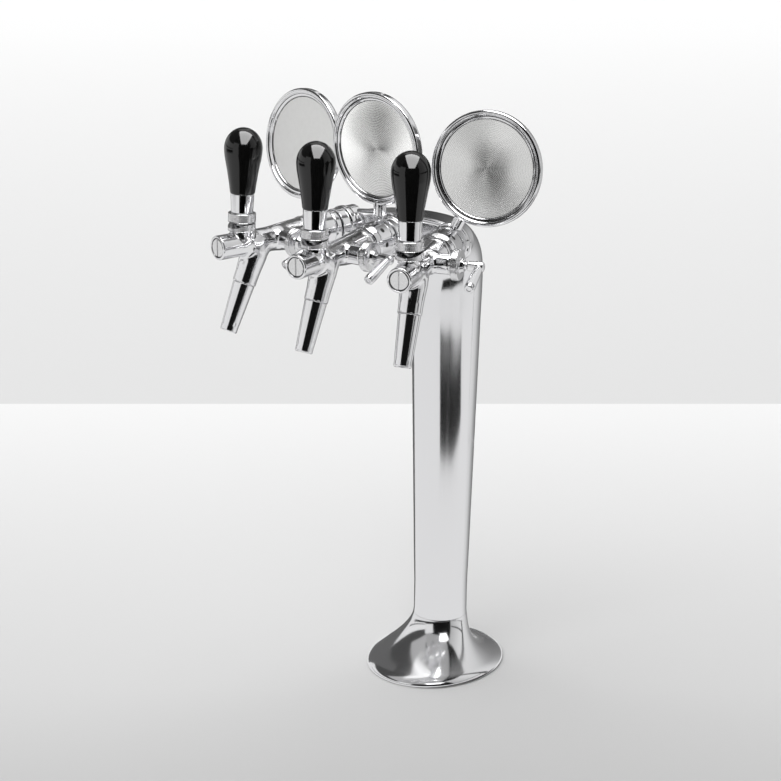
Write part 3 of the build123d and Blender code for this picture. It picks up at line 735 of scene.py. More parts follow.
# ---- tap bodies ----
def soft_union(a, b, k):
    h = np.clip(0.5 + 0.5 * (b - a) / k, 0, 1)
    return b + (a - b) * h - k * h * (1 - h)


def along_profile(t, radial, profile, round_off):
    """Signed distance, near enough, to a piece turned about an axis."""
    at, radii = zip(*profile)
    side = radial - np.interp(t, at, radii)
    ends = np.maximum(at[0] - t, t - at[-1])
    return -soft_union(-side, -ends, round_off)


def casting_distance(p):
    """Signed distance, in millimetres, to the tap body's casting, in its tap's frame."""
    x, y, z = p[..., 0], p[..., 1], p[..., 2]
    fillet = sizes().casting_fillet * 1000
    barrel = along_profile(
        y, np.hypot(x, z),
        ((4, 10.8), (50, 10.8), (56, 11.0), (62, 11.6), (84, 13.75), (88, 14.2)), 0.4,
    )
    lean = math.radians(SPOUT_LEAN)
    down = -(y - SPOUT_AT) * math.sin(lean) - z * math.cos(lean)
    off = (y - SPOUT_AT) * math.cos(lean) - z * math.sin(lean)
    spout = along_profile(
        down, np.hypot(x, off),
        ((-3, 9.5), (8, 11.9), (14, 11.9), (22, 11.2), (30, 10.6), (39.4, 10.4)), 0.5,
    )
    neck = along_profile(z, np.hypot(x, y - HANDLE_AT), ((0, 10.2), (12.4, 10.2)), 0.5)
    boss = along_profile(x, np.hypot(y - COMPENSATOR_AT, z), ((0, 9.0), (23.8, 9.0)), 1.0)
    shape = soft_union(barrel, spout, fillet)
    shape = soft_union(shape, neck, fillet * 0.6)
    return soft_union(shape, boss, fillet * 0.7)


def skinned(distance, low, high, step):
    """A smooth quad skin where distance(points) is zero, by surface nets on a grid."""
    axes = [np.arange(a, b + step, step) for a, b in zip(low, high)]
    grid = np.stack(np.meshgrid(*axes, indexing="ij"), axis=-1)
    value = distance(grid)
    inside = value < 0
    cells = tuple(n - 1 for n in value.shape)
    total, count = np.zeros(cells + (3,)), np.zeros(cells)
    for axis in range(3):
        a = [slice(None)] * 3
        b = [slice(None)] * 3
        a[axis], b[axis] = slice(0, -1), slice(1, None)
        va, vb = value[tuple(a)], value[tuple(b)]
        cross = inside[tuple(a)] != inside[tuple(b)]
        share = np.where(cross, va / np.where(cross, va - vb, 1), 0)
        spot = grid[tuple(a)].copy()
        spot[..., axis] += share * step
        others = [o for o in range(3) if o != axis]
        for da in (0, 1):
            for db in (0, 1):
                src, dst = [slice(None)] * 3, [slice(None)] * 3
                for o, d in zip(others, (da, db)):
                    src[o] = slice(d, value.shape[o] - 1 + d)
                hit = cross[tuple(src)]
                total += spot[tuple(src)] * hit[..., None]
                count += hit
    used = count > 0
    number = -np.ones(cells, int)
    number[used] = np.arange(used.sum())
    points = total[used] / count[used][:, None]
    faces = []
    for axis in range(3):
        u, v = (axis + 1) % 3, (axis + 2) % 3
        a = [slice(1, -1)] * 3
        a[axis] = slice(0, -1)
        b = [slice(1, -1)] * 3
        b[axis] = slice(1, None)
        first, second = inside[tuple(a)], inside[tuple(b)]
        where = np.argwhere(first != second)
        out = first[first != second]
        corner = where + 1
        corner[:, axis] -= 1
        quad = []
        for du, dv in ((0, 0), (1, 0), (1, 1), (0, 1)):
            cell = corner.copy()
            cell[:, u] -= 1 - du
            cell[:, v] -= 1 - dv
            quad.append(number[tuple(cell.T)])
        quad = np.stack(quad, axis=1)
        quad[~out] = quad[~out][:, ::-1]
        faces.append(quad)
    faces = np.concatenate(faces)
    for _ in range(4):
        value = distance(points)
        slope = np.stack(
            [(distance(points + d) - distance(points - d)) / 0.02 for d in np.eye(3) * 0.01], axis=1
        )
        points -= slope * (value / np.maximum((slope**2).sum(axis=1), 0.05))[:, None]
    return points, faces


def casting_mesh():
    points, faces = skinned(casting_distance, (-16, 1, -42), (27, 92, 18), 0.9)
    return mesh_from("casting", points * MM, faces.tolist(), 45)


def body_front_mesh():
    """The ring round the end cap, with its recess."""
    profile = (
        (8.75, 3.1, 0), (8.75, 0.35, 0.3), (9.1, 0.0, 0.2), (10.15, 0.0, 0.6), (10.82, 0.7, 0.6),
        (10.82, 6.0, 0.2), (10.5, 6.4, 0), (8.0, 6.4, 0),
    )
    floor = ((0, 3.15, 0), (8.8, 3.15, 0))
    ring = turned("body_front", profile, 112)
    return joined("body_front", ring, turned("recess_floor", floor, 112))


def cap_seal_and_groove_shade_mesh():
    """The seal ring that shows in the gap round the end cap, partly a real seal and partly painted
    shade: its dark finish darkens the groove.
    """
    profile = (
        (8.05, 0.95, 0), (8.35, 0.75, 0.2), (8.65, 0.95, 0.2), (8.65, 1.6, 0), (8.05, 1.6, 0),
        (8.05, 0.95, 0),
    )
    return turned("cap_seal", profile, 96)


def body_back_mesh():
    """The compensator housing's rear edge and the tail inside the coupling nut."""
    profile = (
        (12.6, 84.0, 0), (13.75, 84.0, 0.1), (14.2, 88.0, 0.8), (15.0, 90.6, 0.9),
        (15.0, 93.4, 0.7), (14.2, 94.0, 0.5), (11.4, 94.0, 0.3), (11.4, 108.0, 0), (8.6, 108.0, 0),
    )
    return turned("body_back", profile, 112)


class TOWER_OT_tap_bodies(bpy.types.Operator):
    """Build the three tap bodies as smooth castings with turned ends"""

    bl_idname = "tower.tap_bodies"
    bl_label = "Tap bodies"

    def execute(self, context):
        chrome = material("polished_chrome")
        casting = casting_mesh()
        add_to_taps("tap_body", casting, "tower", chrome, "tap_body")
        add_to_taps("tap_front", body_front_mesh(), "tower", chrome, local=AXIAL)
        # Painted shade: the dark seal darkens the groove round the end cap; the seal itself is partly
        # real.
        shade_rubber = material("gasket_rubber")
        add_to_taps("cap_seal", cap_seal_and_groove_shade_mesh(), "tower", shade_rubber, local=AXIAL)
        add_to_taps("tap_back", body_back_mesh(), "tower", chrome, local=AXIAL)
        return {"FINISHED"}


class TOWER_OT_spouts(bpy.types.Operator):
    """Build the three tapered spouts with their open mouths"""

    bl_idname = "tower.spouts"
    bl_label = "Spouts"

    def execute(self, context):
        profile = (
            (7.2, 31.6, 0), (7.2, 39.6, 0), (9.2, 39.6, 0.2), (9.75, 40.2, 0.4), (8.0, 75.0, 0.5),
            (7.7, 79.0, 0.5), (7.7, 83.2, 0.5), (7.2, 84.2, 0.4), (6.1, 84.2, 0.3),
            (5.6, 83.6, 0.3), (5.6, 31.6, 0), (7.2, 31.6, 0),
        )
        mesh = turned("spout", profile, 96)
        chrome = material("polished_chrome")
        add_to_taps("spout", mesh, "tower", chrome, "spout", spout_place())
        return {"FINISHED"}


# ---- handles ----
def bonnet_mesh():
    """The knurled bonnet nut, cut away in front for the pulled handle."""
    teeth = knurled(12.6, 18.8)
    rows = [(12.3, h, 0) for h in spaced(13.1, 18.3, 18)]
    profile = [(6.4, 11.2, 0), (9.4, 11.2, 0.2), (9.4, 12.4, 0.2), (11.8, 12.6, 0.2), (12.3, 12.9, 0)]
    profile += rows + [(11.9, 18.8, 0.15), (8.2, 18.8, 0.6), (6.6, 17.6, 0.4), (6.4, 11.2, 0)]
    mesh = turned("bonnet", profile, sizes().knurl_teeth * 4, 3, teeth)
    slope = math.tan(math.radians(19))
    for v in mesh.vertices:
        top = 0.019 + (v.co.y + 0.002) * slope
        if v.co.z > top and v.co.y < 0:
            v.co.z = max(top, 0.0112)
    mesh.update()
    return mesh


def lock_ring_mesh():
    teeth = knurled(19.7, 28.0)
    rows = [(12.3, h, 0) for h in spaced(20.3, 27.4, 24)]
    profile = [(3.6, 19.7, 0), (11.8, 19.7, 0.2), (12.3, 20.1, 0)]
    profile += rows + [(12.3, 27.6, 0), (11.8, 28.0, 0.2), (9.5, 28.0, 0)]
    return turned("lock_ring", profile, sizes().knurl_teeth * 4, 3, teeth)


def ferrule_mesh():
    profile = (
        (8.6, 27.9, 0), (9.2, 27.9, 0.2), (9.6, 28.4, 0.3), (9.65, 29.6, 0.1),
        (10.38, 44.2, 0.3), (10.1, 45.0, 0.3), (8.0, 45.0, 0),
    )
    return turned("ferrule", profile, 112)


def grip_mesh():
    side = [(10.3, 45.0, 0), (10.9, 45.7, 0.4)]
    swell = (
        (45.7, 10.9), (52, 11.75), (58.5, 12.75), (65.0, 13.85), (72, 15.2), (78.5, 16.35),
        (84.5, 16.8),
    )
    heights, radii = zip(*swell)
    places = spaced(46.5, 84.5, 24)
    bend = smooth_path(heights, [[r] for r in radii], places)[:, 0]
    side += [(r, h, 0) for r, h in zip(bend, places)]
    for k in range(1, 20):
        t = math.radians(90 * k / 20)
        side.append((16.8 * math.cos(t), 84.5 + 18.1 * math.sin(t), 0))
    profile = [(0, 45.0, 0)] + side + [(0, 102.6, 0)]
    return turned("grip", profile, 128)


class TOWER_OT_handles(bpy.types.Operator):
    """Build the knurled bonnets and the handles with their rings, ferrules and grips"""

    bl_idname = "tower.handles"
    bl_label = "Handles"

    def execute(self, context):
        knurl, chrome = material("knurled_chrome"), material("polished_chrome")
        bonnet_place = moved(0, HANDLE_AT, 0)
        add_to_taps("bonnet", bonnet_mesh(), "tower", knurl, "bonnet", bonnet_place)
        rides, lean = "handle_{side}", handle_place()
        add_to_taps("lock_ring", lock_ring_mesh(), rides, knurl, "lock_ring", lean)
        add_to_taps("ferrule", ferrule_mesh(), rides, chrome, "ferrule", lean)
        add_to_taps("grip", grip_mesh(), rides, material("black_grip"), "grip", lean)
        return {"FINISHED"}


# ---- compensators ----
def gland_mesh():
    teeth = knurled(26.4, 32.6)
    rows = [(13.5, h, 0) for h in spaced(27.0, 31.8, 18)]
    profile = [(3.3, 16.0, 0), (6.0, 16.0, 0), (6.0, 24.0, 0), (9.6, 24.0, 0.3), (9.6, 26.4, 0.2)]
    profile += [(12.9, 26.4, 0.2), (13.5, 26.8, 0)] + rows
    profile += [(13.5, 32.0, 0), (12.7, 32.6, 0.3), (7.4, 32.6, 0.3), (6.3, 33.2, 0.4)]
    profile += [(5.2, 36.0, 0.3), (3.3, 36.0, 0.1), (3.25, 16.0, 0)]
    return turned("gland", profile, sizes().knurl_teeth * 4, 3, teeth)


def compensator_lever_mesh():
    across = across_place()
    rod_profile = ((0, 8.4, 0), (3.2, 8.4, 0.2), (3.2, 38.6, 0), (3.2, 41.0, 0))
    spindle = turned("spindle", rod_profile, 64, place=across)
    hub_profile = (
        (0, 38.4, 0), (3.7, 38.4, 0.3), (4.3, 39.4, 0.5), (4.45, 48.0, 0.6),
        (4.1, 52.2, 1.2), (2.6, 53.1, 0.8), (0, 53.1, 0),
    )
    hub = turned("hub", hub_profile, 64, place=across)
    drop = moved(48.7, COMPENSATOR_AT, 0) @ turned_by(90 + 23, "X")
    arm_profile = (
        (0, 0, 0), (3.5, 0, 0), (3.7, 4.0, 0.4), (4.65, 28.0, 1.0), (4.3, 31.2, 0.9),
        (3.4, 32.0, 0.4), (2.1, 32.0, 0.2), (1.8, 31.2, 0.2), (0, 31.2, 0),
    )
    arm = turned("arm", arm_profile, 64, place=drop)
    return joined("compensator_lever", spindle, hub, arm)


class TOWER_OT_compensators(bpy.types.Operator):
    """Build the knurled glands and the compensator levers"""

    bl_idname = "tower.compensators"
    bl_label = "Compensators"

    def execute(self, context):
        knurl, chrome = material("knurled_chrome"), material("polished_chrome")
        across = across_place()
        add_to_taps("gland", gland_mesh(), "tower", knurl, "compensator_gland", across)
        levers = compensator_lever_mesh()
        add_to_taps(
            "compensator_lever", levers, "compensator_lever_{side}", chrome,
            "compensator_lever",
        )
        return {"FINISHED"}


# ---- coupling nuts ----
def coupling_nut_mesh():
    profile = (
        (11.7, 96.5, 0), (14.6, 96.5, 0.3), (15.4, 97.2, 0.4), (17.0, 101.0, 0.8),
        (17.4, 102.6, 0.6),
        (17.4, 117.6, 0.4), (16.3, 119.0, 0.3), (14.4, 119.0, 0), (14.4, 103.7, 0), (11.7, 103.7, 0),
        (11.7, 96.5, 0),
    )
    return turned("coupling_nut", profile, 120)


def spanner_hole_shade_mesh():
    """Painted shade for the spanner holes round the nut: small dark cups on the nut's face stand in
    for the shade inside the holes.
    """
    cups = []
    for k in range(8):
        out = turned_by(45 + 45 * k, "Z") @ moved(17.4, 0, 108.8) @ turned_by(90, "Y")
        profile = ((0, 0.02, 0), (1.9, 0.02, 0), (2.0, 0.02, 0.05), (2.25, -0.02, 0))
        cups.append(turned("cup", profile, 24, 2, place=out))
    return joined("spanner_holes", *cups)


class TOWER_OT_coupling_nuts(bpy.types.Operator):
    """Build the coupling nuts behind the taps"""

    bl_idname = "tower.coupling_nuts"
    bl_label = "Coupling nuts"

    def execute(self, context):
        chrome = material("polished_chrome")
        nut = coupling_nut_mesh()
        add_to_taps("coupling_nut", nut, "tower", chrome, "coupling_nut", AXIAL)
        holes = spanner_hole_shade_mesh()
        # Painted shade: the dark finish on the cups stands in for the shade inside the spanner holes.
        shade_rubber = material("gasket_rubber")
        add_to_taps("spanner_holes", holes, "tower", shade_rubber, local=AXIAL)
        return {"FINISHED"}


# ---- badges ----
def bracket_mesh(side):
    collar_profile = (
        (8.1, 119.8, 0), (14.4, 119.8, 0.6), (15.6, 121.0, 1.0), (15.6, 125.8, 1.0),
        (14.4, 127.0, 0.6), (8.1, 127.0, 0),
    )
    collar = turned("collar", collar_profile, 96, place=AXIAL)
    lean = BADGE_SET[side][0]
    stem_profile = (
        (0, 11.0, 0), (3.5, 11.0, 0), (3.5, 18.3, 0.6), (4.4, 19.6, 0.6), (5.6, 21.0, 0.8),
        (5.6, 30.0, 0.6), (5.2, 35.0, 0), (0, 35.0, 0),
    )
    up = moved(0, 123.5, 0) @ turned_by(lean, "Y")
    return joined("bracket_" + side, collar, turned("stem", stem_profile, 48, place=up))


def housing_mesh():
    """A stepped bezel round the plate's seat, a plain side and a dished back."""
    r = 50.0
    profile = (
        (0, -5.5, 0), (r - 7, -5.5, 1.5), (r - 2.2, -3.9, 1.0), (r, -1.3, 1.2), (r, 4.1, 0.6),
        (r - 1.0, 5.1, 0.5), (r - 2.4, 5.5, 0.5), (r - 3.6, 5.0, 0.5), (r - 4.2, 3.8, 0.4),
        (r - 5.6, 3.6, 0.4), (r - 6.9, 3.0, 0.3), (42.7, 2.3, 0.2), (42.7, 0.5, 0.1), (39.5, 0.5, 0),
        (39.5, -3.1, 0), (0, -3.1, 0),
    )
    return turned("badge_housing", profile, 192)


def plate_mesh(name):
    profile = ((0, 0.5, 0), (42.4, 0.5, 0.1), (42.5, 0.9, 0.15), (42.1, 1.9, 0.2)) + tuple(
        (r, 1.9, 0) for r in (34.0, 26.0, 18.0, 10.0, 4.0, 1.0)
    ) + ((0, 1.9, 0),)
    return turned(name, profile, 160)


class TOWER_OT_badges(bpy.types.Operator):
    """Build the badge brackets, housings and plates"""

    bl_idname = "tower.badges"
    bl_label = "Badges"

    def execute(self, context):
        chrome = material("polished_chrome")
        for side in SIDES:
            tap, badge = tap_place(side), tap_place(side) @ badge_place(side)
            bracket, housing = bracket_mesh(side), housing_mesh()
            housing.transform(badge)
            add_piece(f"badge_bracket_{side}", bracket, "tower", chrome,
                      [f"badge_bracket_{side}"], tap)
            add_piece(f"badge_housing_{side}", housing, "tower", chrome,
                      [f"badge_housing_{side}"])
            plate = plate_mesh("badge_plate_" + side)
            finish = material("satin_plate" if side == "left" else "turned_plate")
            add_piece(f"badge_plate_{side}", plate, "tower", finish,
                      [f"badge_plate_{side}"], badge)
        return {"FINISHED"}


# ---- carried-over nodes ----
class TOWER_OT_finish_frame(bpy.types.Operator):
    """Give the frame's own nodes their finishes"""

    bl_idname = "tower.finish_frame"
    bl_label = "Frame finishes"

    def execute(self, context):
        for name, part in frame["nodes"].items():
            stem = name.rsplit("_", 1)[0] if name.rsplit("_", 1)[-1] in SIDES else name
            finish = material(CARRIED_OVER.get(stem, "polished_chrome"))
            for place in part.material_slots:
                place.material = finish
        return {"FINISHED"}


# ---- studio ----
# Metres. Angles are in degrees to the right of the camera's side of the tower.
STAGE_CENTRE_Y = 0.011
CAMERA_DISTANCE, CAMERA_HEIGHT, CAMERA_AIM_Y = 1.8, 0.8781, -0.076
FLOOR_SEAM = 0.798
# Painted light: the floor's greys get lighter away from the camera, standing in for how the light
# falls on the paper.
NEAR_SHEET_PAINTED_LIGHT = (0.45, 0.635, 0.74, 0.85)
FAR_SHEET_PAINTED_LIGHT = (0.705, 0.80, 0.885, 0.93)


def even(grey):
    return ((0.0, grey), (1.0, grey))


FADE_RIGHT = ((0.0, 0.86), (0.23, 0.72), (0.42, 0.42), (0.6, 0.27), (0.75, 0.2), (1.0, 0.05))
# Name, start, end, radius, greys.
TABLE_SECTORS = (
    ("table_left", -138, -31, 2.6, even(0.87)),
    ("table_front", -31, 41, 2.3, even(0.87)),
    ("table_right", 41, 96, 1.9, even(0.87)),
    ("table_behind_right", 96, 180, 0.62, FADE_RIGHT),
    ("table_behind_left", -180, -138, 1.2, even(0.14)),
)
# Name, corners as (degrees, radius), height, grey.
FLAT_CARDS = (
    ("dark_card", (
        (-22.5, 1.177), (10.7, 1.115), (49.9, 1.04), (54.9, 0.872), (60.9, 0.71),
        (40.5, 0.613), (11.0, 0.604), (-14.8, 0.628), (-18.9, 0.88),
    ), 0.0009, 0.0),
    ("card_slit_1", ((8.0, 0.62), (8.6, 0.62), (8.6, 1.1), (8.0, 1.1)), 0.0012, 0.25),
    ("card_slit_2", ((14.0, 0.62), (14.5, 0.62), (14.5, 1.1), (14.0, 1.1)), 0.0012, 0.15),
    ("softbox", ((-115, 0.5), (-40, 0.95), (40, 0.95), (115, 0.5)), 1.7, 6.0),
)
# Name, start, end, radius, foot, top, greys.
WALLS = (
    ("low_wall", -62, -31, 1.25, 0.25, 1.15, even(0.85)),
    ("light_wall", 40, 92, 1.25, 0.05, 2.4, ((0.0, 0.5), (1.0, 0.85))),
    ("left_wall", -128, -62, 2.5, 0.3, 1.45, even(0.9)),
    ("left_strip", -128, -62, 2.4, 0.5, 0.61, even(0.0)),
    ("right_strip", 44, 130, 1.2, 0.47, 0.56, even(0.0)),
    ("left_room", -150, -61, 2.6, 1.46, 6.0, even(0.075)),
    ("shade_right", 96, 180, 0.62, 0.002, 1.1, FADE_RIGHT),
    ("shade_left", -180, -138, 1.2, 0.002, 1.6, even(0.14)),
)
KNURLS = ("bonnet", "lock_ring", "gland")
# Name, pieces lit, place, aim, width, height, brightness.
CARD_LAMPS = (
    ("grip_softbox", ("grip",), (8, 0.93, 1.66), (8, 0.93, 0), 1.3, 2.55, 8.0),
    ("plate_band_right", ("badge_plate",), (-47, 1.6, 0.45), (20, 0.2, 0.52), 2.6, 0.45, 0.9),
    ("plate_band_middle", ("badge_plate",), (-84, 1.5, 0.12), (0, 0.18, 0.52), 2.4, 0.5, 0.5),
    ("base_grey", ("base_shell",), (-50, 0.7, 1.65), (-50, 0.7, 0), 1.9, 1.8, 0.32),
    ("base_white", ("base_shell",), (12, 1.2, 1.6), (12, 1.2, 0), 0.75, 0.75, 1.5),
    ("knurl_light", KNURLS, (-15, 1.6, 1.1), (0, 0.2, 0.45), 1.0, 1.0, 6.0, True),
)


def emitting(name, build):
    """A finish for the studio's own panels: light of a given colour or ramp."""
    made = bpy.data.materials.new(name)
    made.use_nodes = True
    tree = made.node_tree
    tree.nodes.remove(tree.nodes["Principled BSDF"])
    glow = tree.nodes.new("ShaderNodeEmission")
    tree.links.new(glow.outputs["Emission"], tree.nodes["Material Output"].inputs["Surface"])
    build(tree, glow)
    return made


def grey_ramp(tree, value, stops):
    ramp = tree.nodes.new("ShaderNodeValToRGB")
    elements = ramp.color_ramp.elements
    while len(elements) < len(stops):
        elements.new(0.5)
    for element, (position, grey) in zip(elements, stops):
        element.position = position
        element.color = (grey, grey, grey, 1)
    tree.links.new(value, ramp.inputs["Fac"])
    return ramp.outputs["Color"]


def only_reflected(name, mesh, build):
    """Link one of the studio's cards, which only reflections see."""
    mesh.materials.append(emitting(name + "_glow", build))
    card = bpy.data.objects.new(name, mesh)
    bpy.context.scene.collection.objects.link(card)
    for kind in ("camera", "diffuse", "shadow", "transmission", "volume_scatter"):
        setattr(card, "visible_" + kind, False)
    return card


def plain_glow(grey):
    def build(tree, glow):
        glow.inputs["Color"].default_value = (grey, grey, grey, 1)

    return build


def round_from_camera(angle, radius, height=0.0):
    """A point round the tower, at degrees to the right of the camera's side."""
    around = studio().camera_turn + math.radians(angle)
    return radius * math.sin(around), STAGE_CENTRE_Y - radius * math.cos(around), height


def ring_card(name, start, end, near, far, stops, count=64):
    """A card round the tower between two (radius, height) edges. Its greys run from start to end."""
    points, faces = [], []
    for i in range(count + 1):
        angle = start + (end - start) * i / count
        points += [round_from_camera(angle, *near), round_from_camera(angle, *far)]
        if i:
            faces.append((2 * i - 2, 2 * i, 2 * i + 1, 2 * i - 1))
    mesh = mesh_from(name, points, faces)
    shares = mesh.uv_layers.new(name="share")
    for loop in mesh.loops:
        shares.data[loop.index].uv = (loop.vertex_index // 2 / count, loop.vertex_index % 2)

    def build(tree, glow):
        where = tree.nodes.new("ShaderNodeUVMap")
        parts = tree.nodes.new("ShaderNodeSeparateXYZ")
        tree.links.new(where.outputs["UV"], parts.inputs["Vector"])
        tree.links.new(grey_ramp(tree, parts.outputs["X"], stops), glow.inputs["Color"])

    return only_reflected(name, mesh, build)


def reflected_wall(name, start, end, radius, low, high, stops):
    return ring_card(name, start, end, (radius, low), (radius, high), stops)


def reflected_table(name, start, end, radius, stops):
    """A sector of the table's top, as the chrome sees it."""
    return ring_card(name, start, end, (0.08, 0.0006), (radius, 0.0006), stops)


def reflected_card(name, corners, height, grey):
    """A flat card lying at a height, with its corners at (degrees, radius)."""
    points = [round_from_camera(angle, radius, height) for angle, radius in corners]
    return only_reflected(name, mesh_from(name, points, [range(len(points))]), plain_glow(grey))


def lights(source, stems, include=True):
    """Let a card or lamp light only the pieces whose names begin so, or all but those."""
    group = bpy.data.collections.new("lit_by_" + source.name)
    for piece in bpy.context.scene.objects:
        if piece.type == "MESH" and piece.name.startswith(stems):
            group.objects.link(piece)
    for member in group.collection_objects:
        member.light_linking.link_state = "INCLUDE" if include else "EXCLUDE"
    source.light_linking.receiver_collection = group


def add_card_lamp(name, stems, spot, aim, width, height, glow, diffuse=False):
    """A flat lamp that lights only some pieces. spot and aim are (degrees, radius, height).

    A diffuse lamp lights dull surfaces and isn't mirrored. Any other is only mirrored.
    """
    lamp = bpy.data.lights.new(name, "AREA")
    lamp.shape = "RECTANGLE"
    lamp.size, lamp.size_y = width, height
    lamp.energy = 4 * glow * width * height
    holder = bpy.data.objects.new(name, lamp)
    bpy.context.scene.collection.objects.link(holder)
    spot, aim = Vector(round_from_camera(*spot)), Vector(round_from_camera(*aim))
    holder.location = spot
    across = Vector(round_from_camera(90, 1.0)) - Vector(round_from_camera(0, 0.0))
    back = (spot - aim).normalized()
    up = back.cross(across).normalized()
    holder.rotation_euler = Matrix((up.cross(back), up, back)).transposed().to_euler()
    holder.visible_diffuse, holder.visible_glossy = diffuse, not diffuse
    lights(holder, stems)


def grey_along(tree, value, low, high, greys):
    """Greys given at even steps between two distances."""
    share = node(tree, "ShaderNodeMapRange")
    share.inputs["From Min"].default_value = low
    share.inputs["From Max"].default_value = high
    tree.links.new(value, share.inputs["Value"])
    stops = [(i / (len(greys) - 1), grey) for i, grey in enumerate(greys)]
    return grey_ramp(tree, share.outputs["Result"], stops)


def floor_finish():
    """Pale paper with painted light: its grey runs darker near the camera and lighter away from it,
    with a seam where a second sheet begins.
    """
    made, tree, shader = start_finish("floor_paper")
    turn = studio().camera_turn
    away = node(tree, "ShaderNodeVectorMath", operation="DOT_PRODUCT")
    tree.links.new(object_coords(tree), away.inputs[0])
    away.inputs[1].default_value = (-math.sin(turn), math.cos(turn), 0)
    beyond = node(tree, "ShaderNodeMath", operation="GREATER_THAN")
    beyond.inputs[1].default_value = FLOOR_SEAM
    tree.links.new(away.outputs["Value"], beyond.inputs[0])
    sheets = node(tree, "ShaderNodeMix", data_type="RGBA")
    tree.links.new(beyond.outputs["Value"], sheets.inputs["Factor"])
    near = grey_along(tree, away.outputs["Value"], -0.5, FLOOR_SEAM, NEAR_SHEET_PAINTED_LIGHT)
    far = grey_along(tree, away.outputs["Value"], FLOOR_SEAM, 6.0, FAR_SHEET_PAINTED_LIGHT)
    tree.links.new(near, sheets.inputs[6])
    tree.links.new(far, sheets.inputs[7])
    tree.links.new(sheets.outputs[2], shader.inputs["Base Color"])
    tree.links.new(spread(tree, noise(tree, 3.0), 0.85, 0.95), shader.inputs["Roughness"])
    shader.inputs["Specular IOR Level"].default_value = 0.0
    return made


def add_floor():
    reach = studio().floor_reach
    corners = [(-reach, -reach, 0), (reach, -reach, 0), (reach, reach, 0), (-reach, reach, 0)]
    mesh = mesh_from("floor", corners, [(0, 1, 2, 3)])
    mesh.materials.append(floor_finish())
    floor = bpy.data.objects.new("floor", mesh)
    bpy.context.scene.collection.objects.link(floor)
    floor.visible_glossy = False


def add_surround():
    """A room that is bright behind the tower and overhead, and dark on the camera's side."""
    world = bpy.data.worlds.new("surround")
    world.use_nodes = True
    tree = world.node_tree
    place = tree.nodes.new("ShaderNodeTexCoord")
    turn = studio().camera_turn
    front = node(tree, "ShaderNodeVectorMath", operation="DOT_PRODUCT")
    tree.links.new(place.outputs["Generated"], front.inputs[0])
    front.inputs[1].default_value = (math.sin(turn), -math.cos(turn), 0)
    parts = tree.nodes.new("ShaderNodeSeparateXYZ")
    tree.links.new(place.outputs["Generated"], parts.inputs["Vector"])
    lift = node(tree, "ShaderNodeMath", operation="MULTIPLY")
    tree.links.new(parts.outputs["Z"], lift.inputs[0])
    tree.links.new(parts.outputs["Z"], lift.inputs[1])
    sum_up = node(tree, "ShaderNodeMath", operation="MULTIPLY_ADD")
    tree.links.new(lift.outputs["Value"], sum_up.inputs[0])
    sum_up.inputs[1].default_value = -0.3
    tree.links.new(front.outputs["Value"], sum_up.inputs[2])
    share = node(tree, "ShaderNodeMapRange")
    share.inputs["From Min"].default_value = -1.0
    share.inputs["From Max"].default_value = 1.0
    tree.links.new(sum_up.outputs["Value"], share.inputs["Value"])
    stops = ((0.0, 0.95), (0.24, 0.95), (0.3, 0.25), (0.42, 0.015), (1.0, 0.006))
    glow = tree.nodes["Background"]
    tree.links.new(grey_ramp(tree, share.outputs["Result"], stops), glow.inputs["Color"])
    glow.inputs["Strength"].default_value = studio().surround
    bpy.context.scene.world = world


def add_soft_light(name, bearing, height, strength, softness):
    """Broad light from a bearing to the right of the camera's side. The chrome doesn't see it."""
    lamp = bpy.data.lights.new(name, "SUN")
    lamp.energy = strength
    lamp.angle = math.radians(softness)
    holder = bpy.data.objects.new(name, lamp)
    bpy.context.scene.collection.objects.link(holder)
    at = Vector(round_from_camera(bearing, 1.0, math.tan(math.radians(height))))
    holder.location = at
    holder.rotation_euler = (-at).to_track_quat("-Z", "Y").to_euler()
    holder.visible_glossy = False


def add_camera():
    turn, tilt = studio().camera_turn, studio().camera_tilt
    view = bpy.data.cameras.new("camera")
    view.lens = studio().lens
    view.sensor_width = 36.0
    view.clip_start, view.clip_end = 0.05, 100.0
    holder = bpy.data.objects.new("camera", view)
    bpy.context.scene.collection.objects.link(holder)
    away = CAMERA_DISTANCE
    holder.location = (away * math.sin(turn), CAMERA_AIM_Y - away * math.cos(turn), CAMERA_HEIGHT)
    aim = Vector((-math.sin(turn) * math.cos(tilt), math.cos(turn) * math.cos(tilt), -math.sin(tilt)))
    holder.rotation_euler = aim.to_track_quat("-Z", "Y").to_euler()
    bpy.context.scene.camera = holder


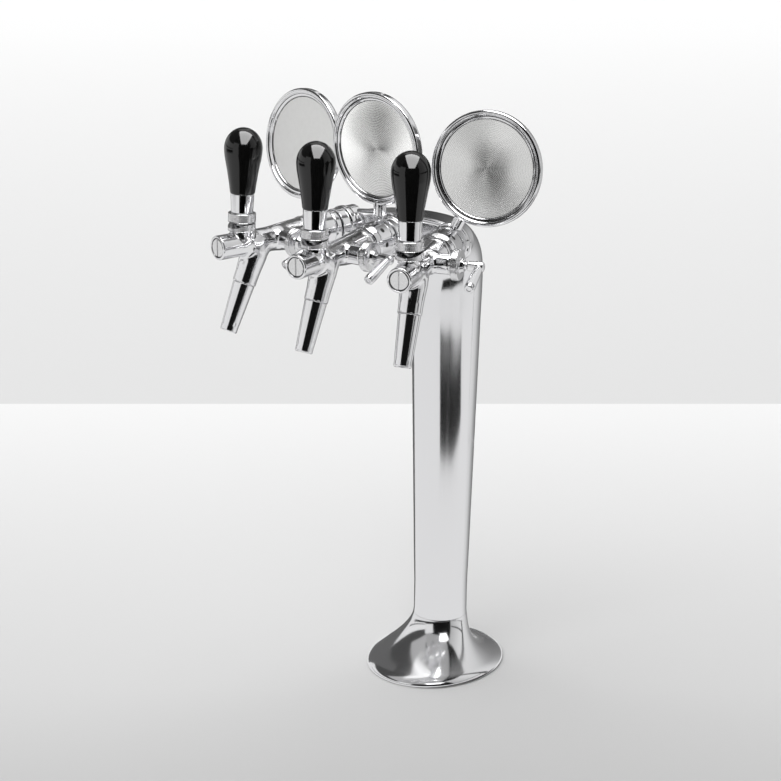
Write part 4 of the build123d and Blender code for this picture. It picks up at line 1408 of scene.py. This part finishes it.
class TOWER_OT_studio(bpy.types.Operator):
    """Set up the floor, the surround, the cards that the chrome reflects and the camera"""

    bl_idname = "tower.studio"
    bl_label = "Studio"

    def execute(self, context):
        context.scene.view_settings.view_transform = "Standard"
        add_camera()
        add_floor()
        add_surround()
        add_soft_light("overhead_light", -110, 68, 1.9, 75)
        add_soft_light("front_light", -25, 35, 1.3, 60)
        for sector in TABLE_SECTORS:
            reflected_table(*sector)
        for card in FLAT_CARDS:
            reflected_card(*card)
        for wall in WALLS:
            reflected_wall(*wall)
        return {"FINISHED"}


class TOWER_OT_reflections(bpy.types.Operator):
    """Give the grips, the badge plates, the base and the knurls lights of their own"""

    bl_idname = "tower.reflections"
    bl_label = "Reflections"

    def execute(self, context):
        made = context.scene.objects
        lights(made["table_front"], ("grip", "ferrule"), include=False)
        lights(made["softbox"], ("grip", "base_shell"), include=False)
        for lamp in CARD_LAMPS:
            add_card_lamp(*lamp)
        return {"FINISHED"}


# ---- panel and registration ----
STEPS = (
    TOWER_OT_studio,
    TOWER_OT_finish_frame,
    TOWER_OT_base,
    TOWER_OT_column,
    TOWER_OT_tap_bodies,
    TOWER_OT_spouts,
    TOWER_OT_handles,
    TOWER_OT_compensators,
    TOWER_OT_coupling_nuts,
    TOWER_OT_badges,
    TOWER_OT_reflections,
)


class TOWER_PT_panel(bpy.types.Panel):
    """Lists the tower's pieces and settings"""

    bl_idname = "TOWER_PT_panel"
    bl_label = "Beer tower"
    bl_space_type = "VIEW_3D"
    bl_region_type = "UI"
    bl_category = "Beer tower"

    def draw(self, context):
        layout = self.layout
        for group in (sizes(), finishes(), studio()):
            box = layout.box()
            for key in group.__annotations__:
                box.prop(group, key)
        column = layout.column(align=True)
        for step in STEPS:
            column.operator(step.bl_idname)


CLASSES = (TowerSizes, TowerFinishes, StudioSettings, *STEPS, TOWER_PT_panel)


def register():
    for cls in CLASSES:
        bpy.utils.register_class(cls)
    bpy.types.Scene.tower_sizes = bpy.props.PointerProperty(type=TowerSizes)
    bpy.types.Scene.tower_finishes = bpy.props.PointerProperty(type=TowerFinishes)
    bpy.types.Scene.tower_studio = bpy.props.PointerProperty(type=StudioSettings)


def unregister():
    del bpy.types.Scene.tower_studio, bpy.types.Scene.tower_finishes, bpy.types.Scene.tower_sizes
    for cls in reversed(CLASSES):
        bpy.utils.unregister_class(cls)


def main():
    register()
    for step in STEPS:
        group, name = step.bl_idname.split(".")
        getattr(getattr(bpy.ops, group), name)()


if __name__ == "__main__":
    main()
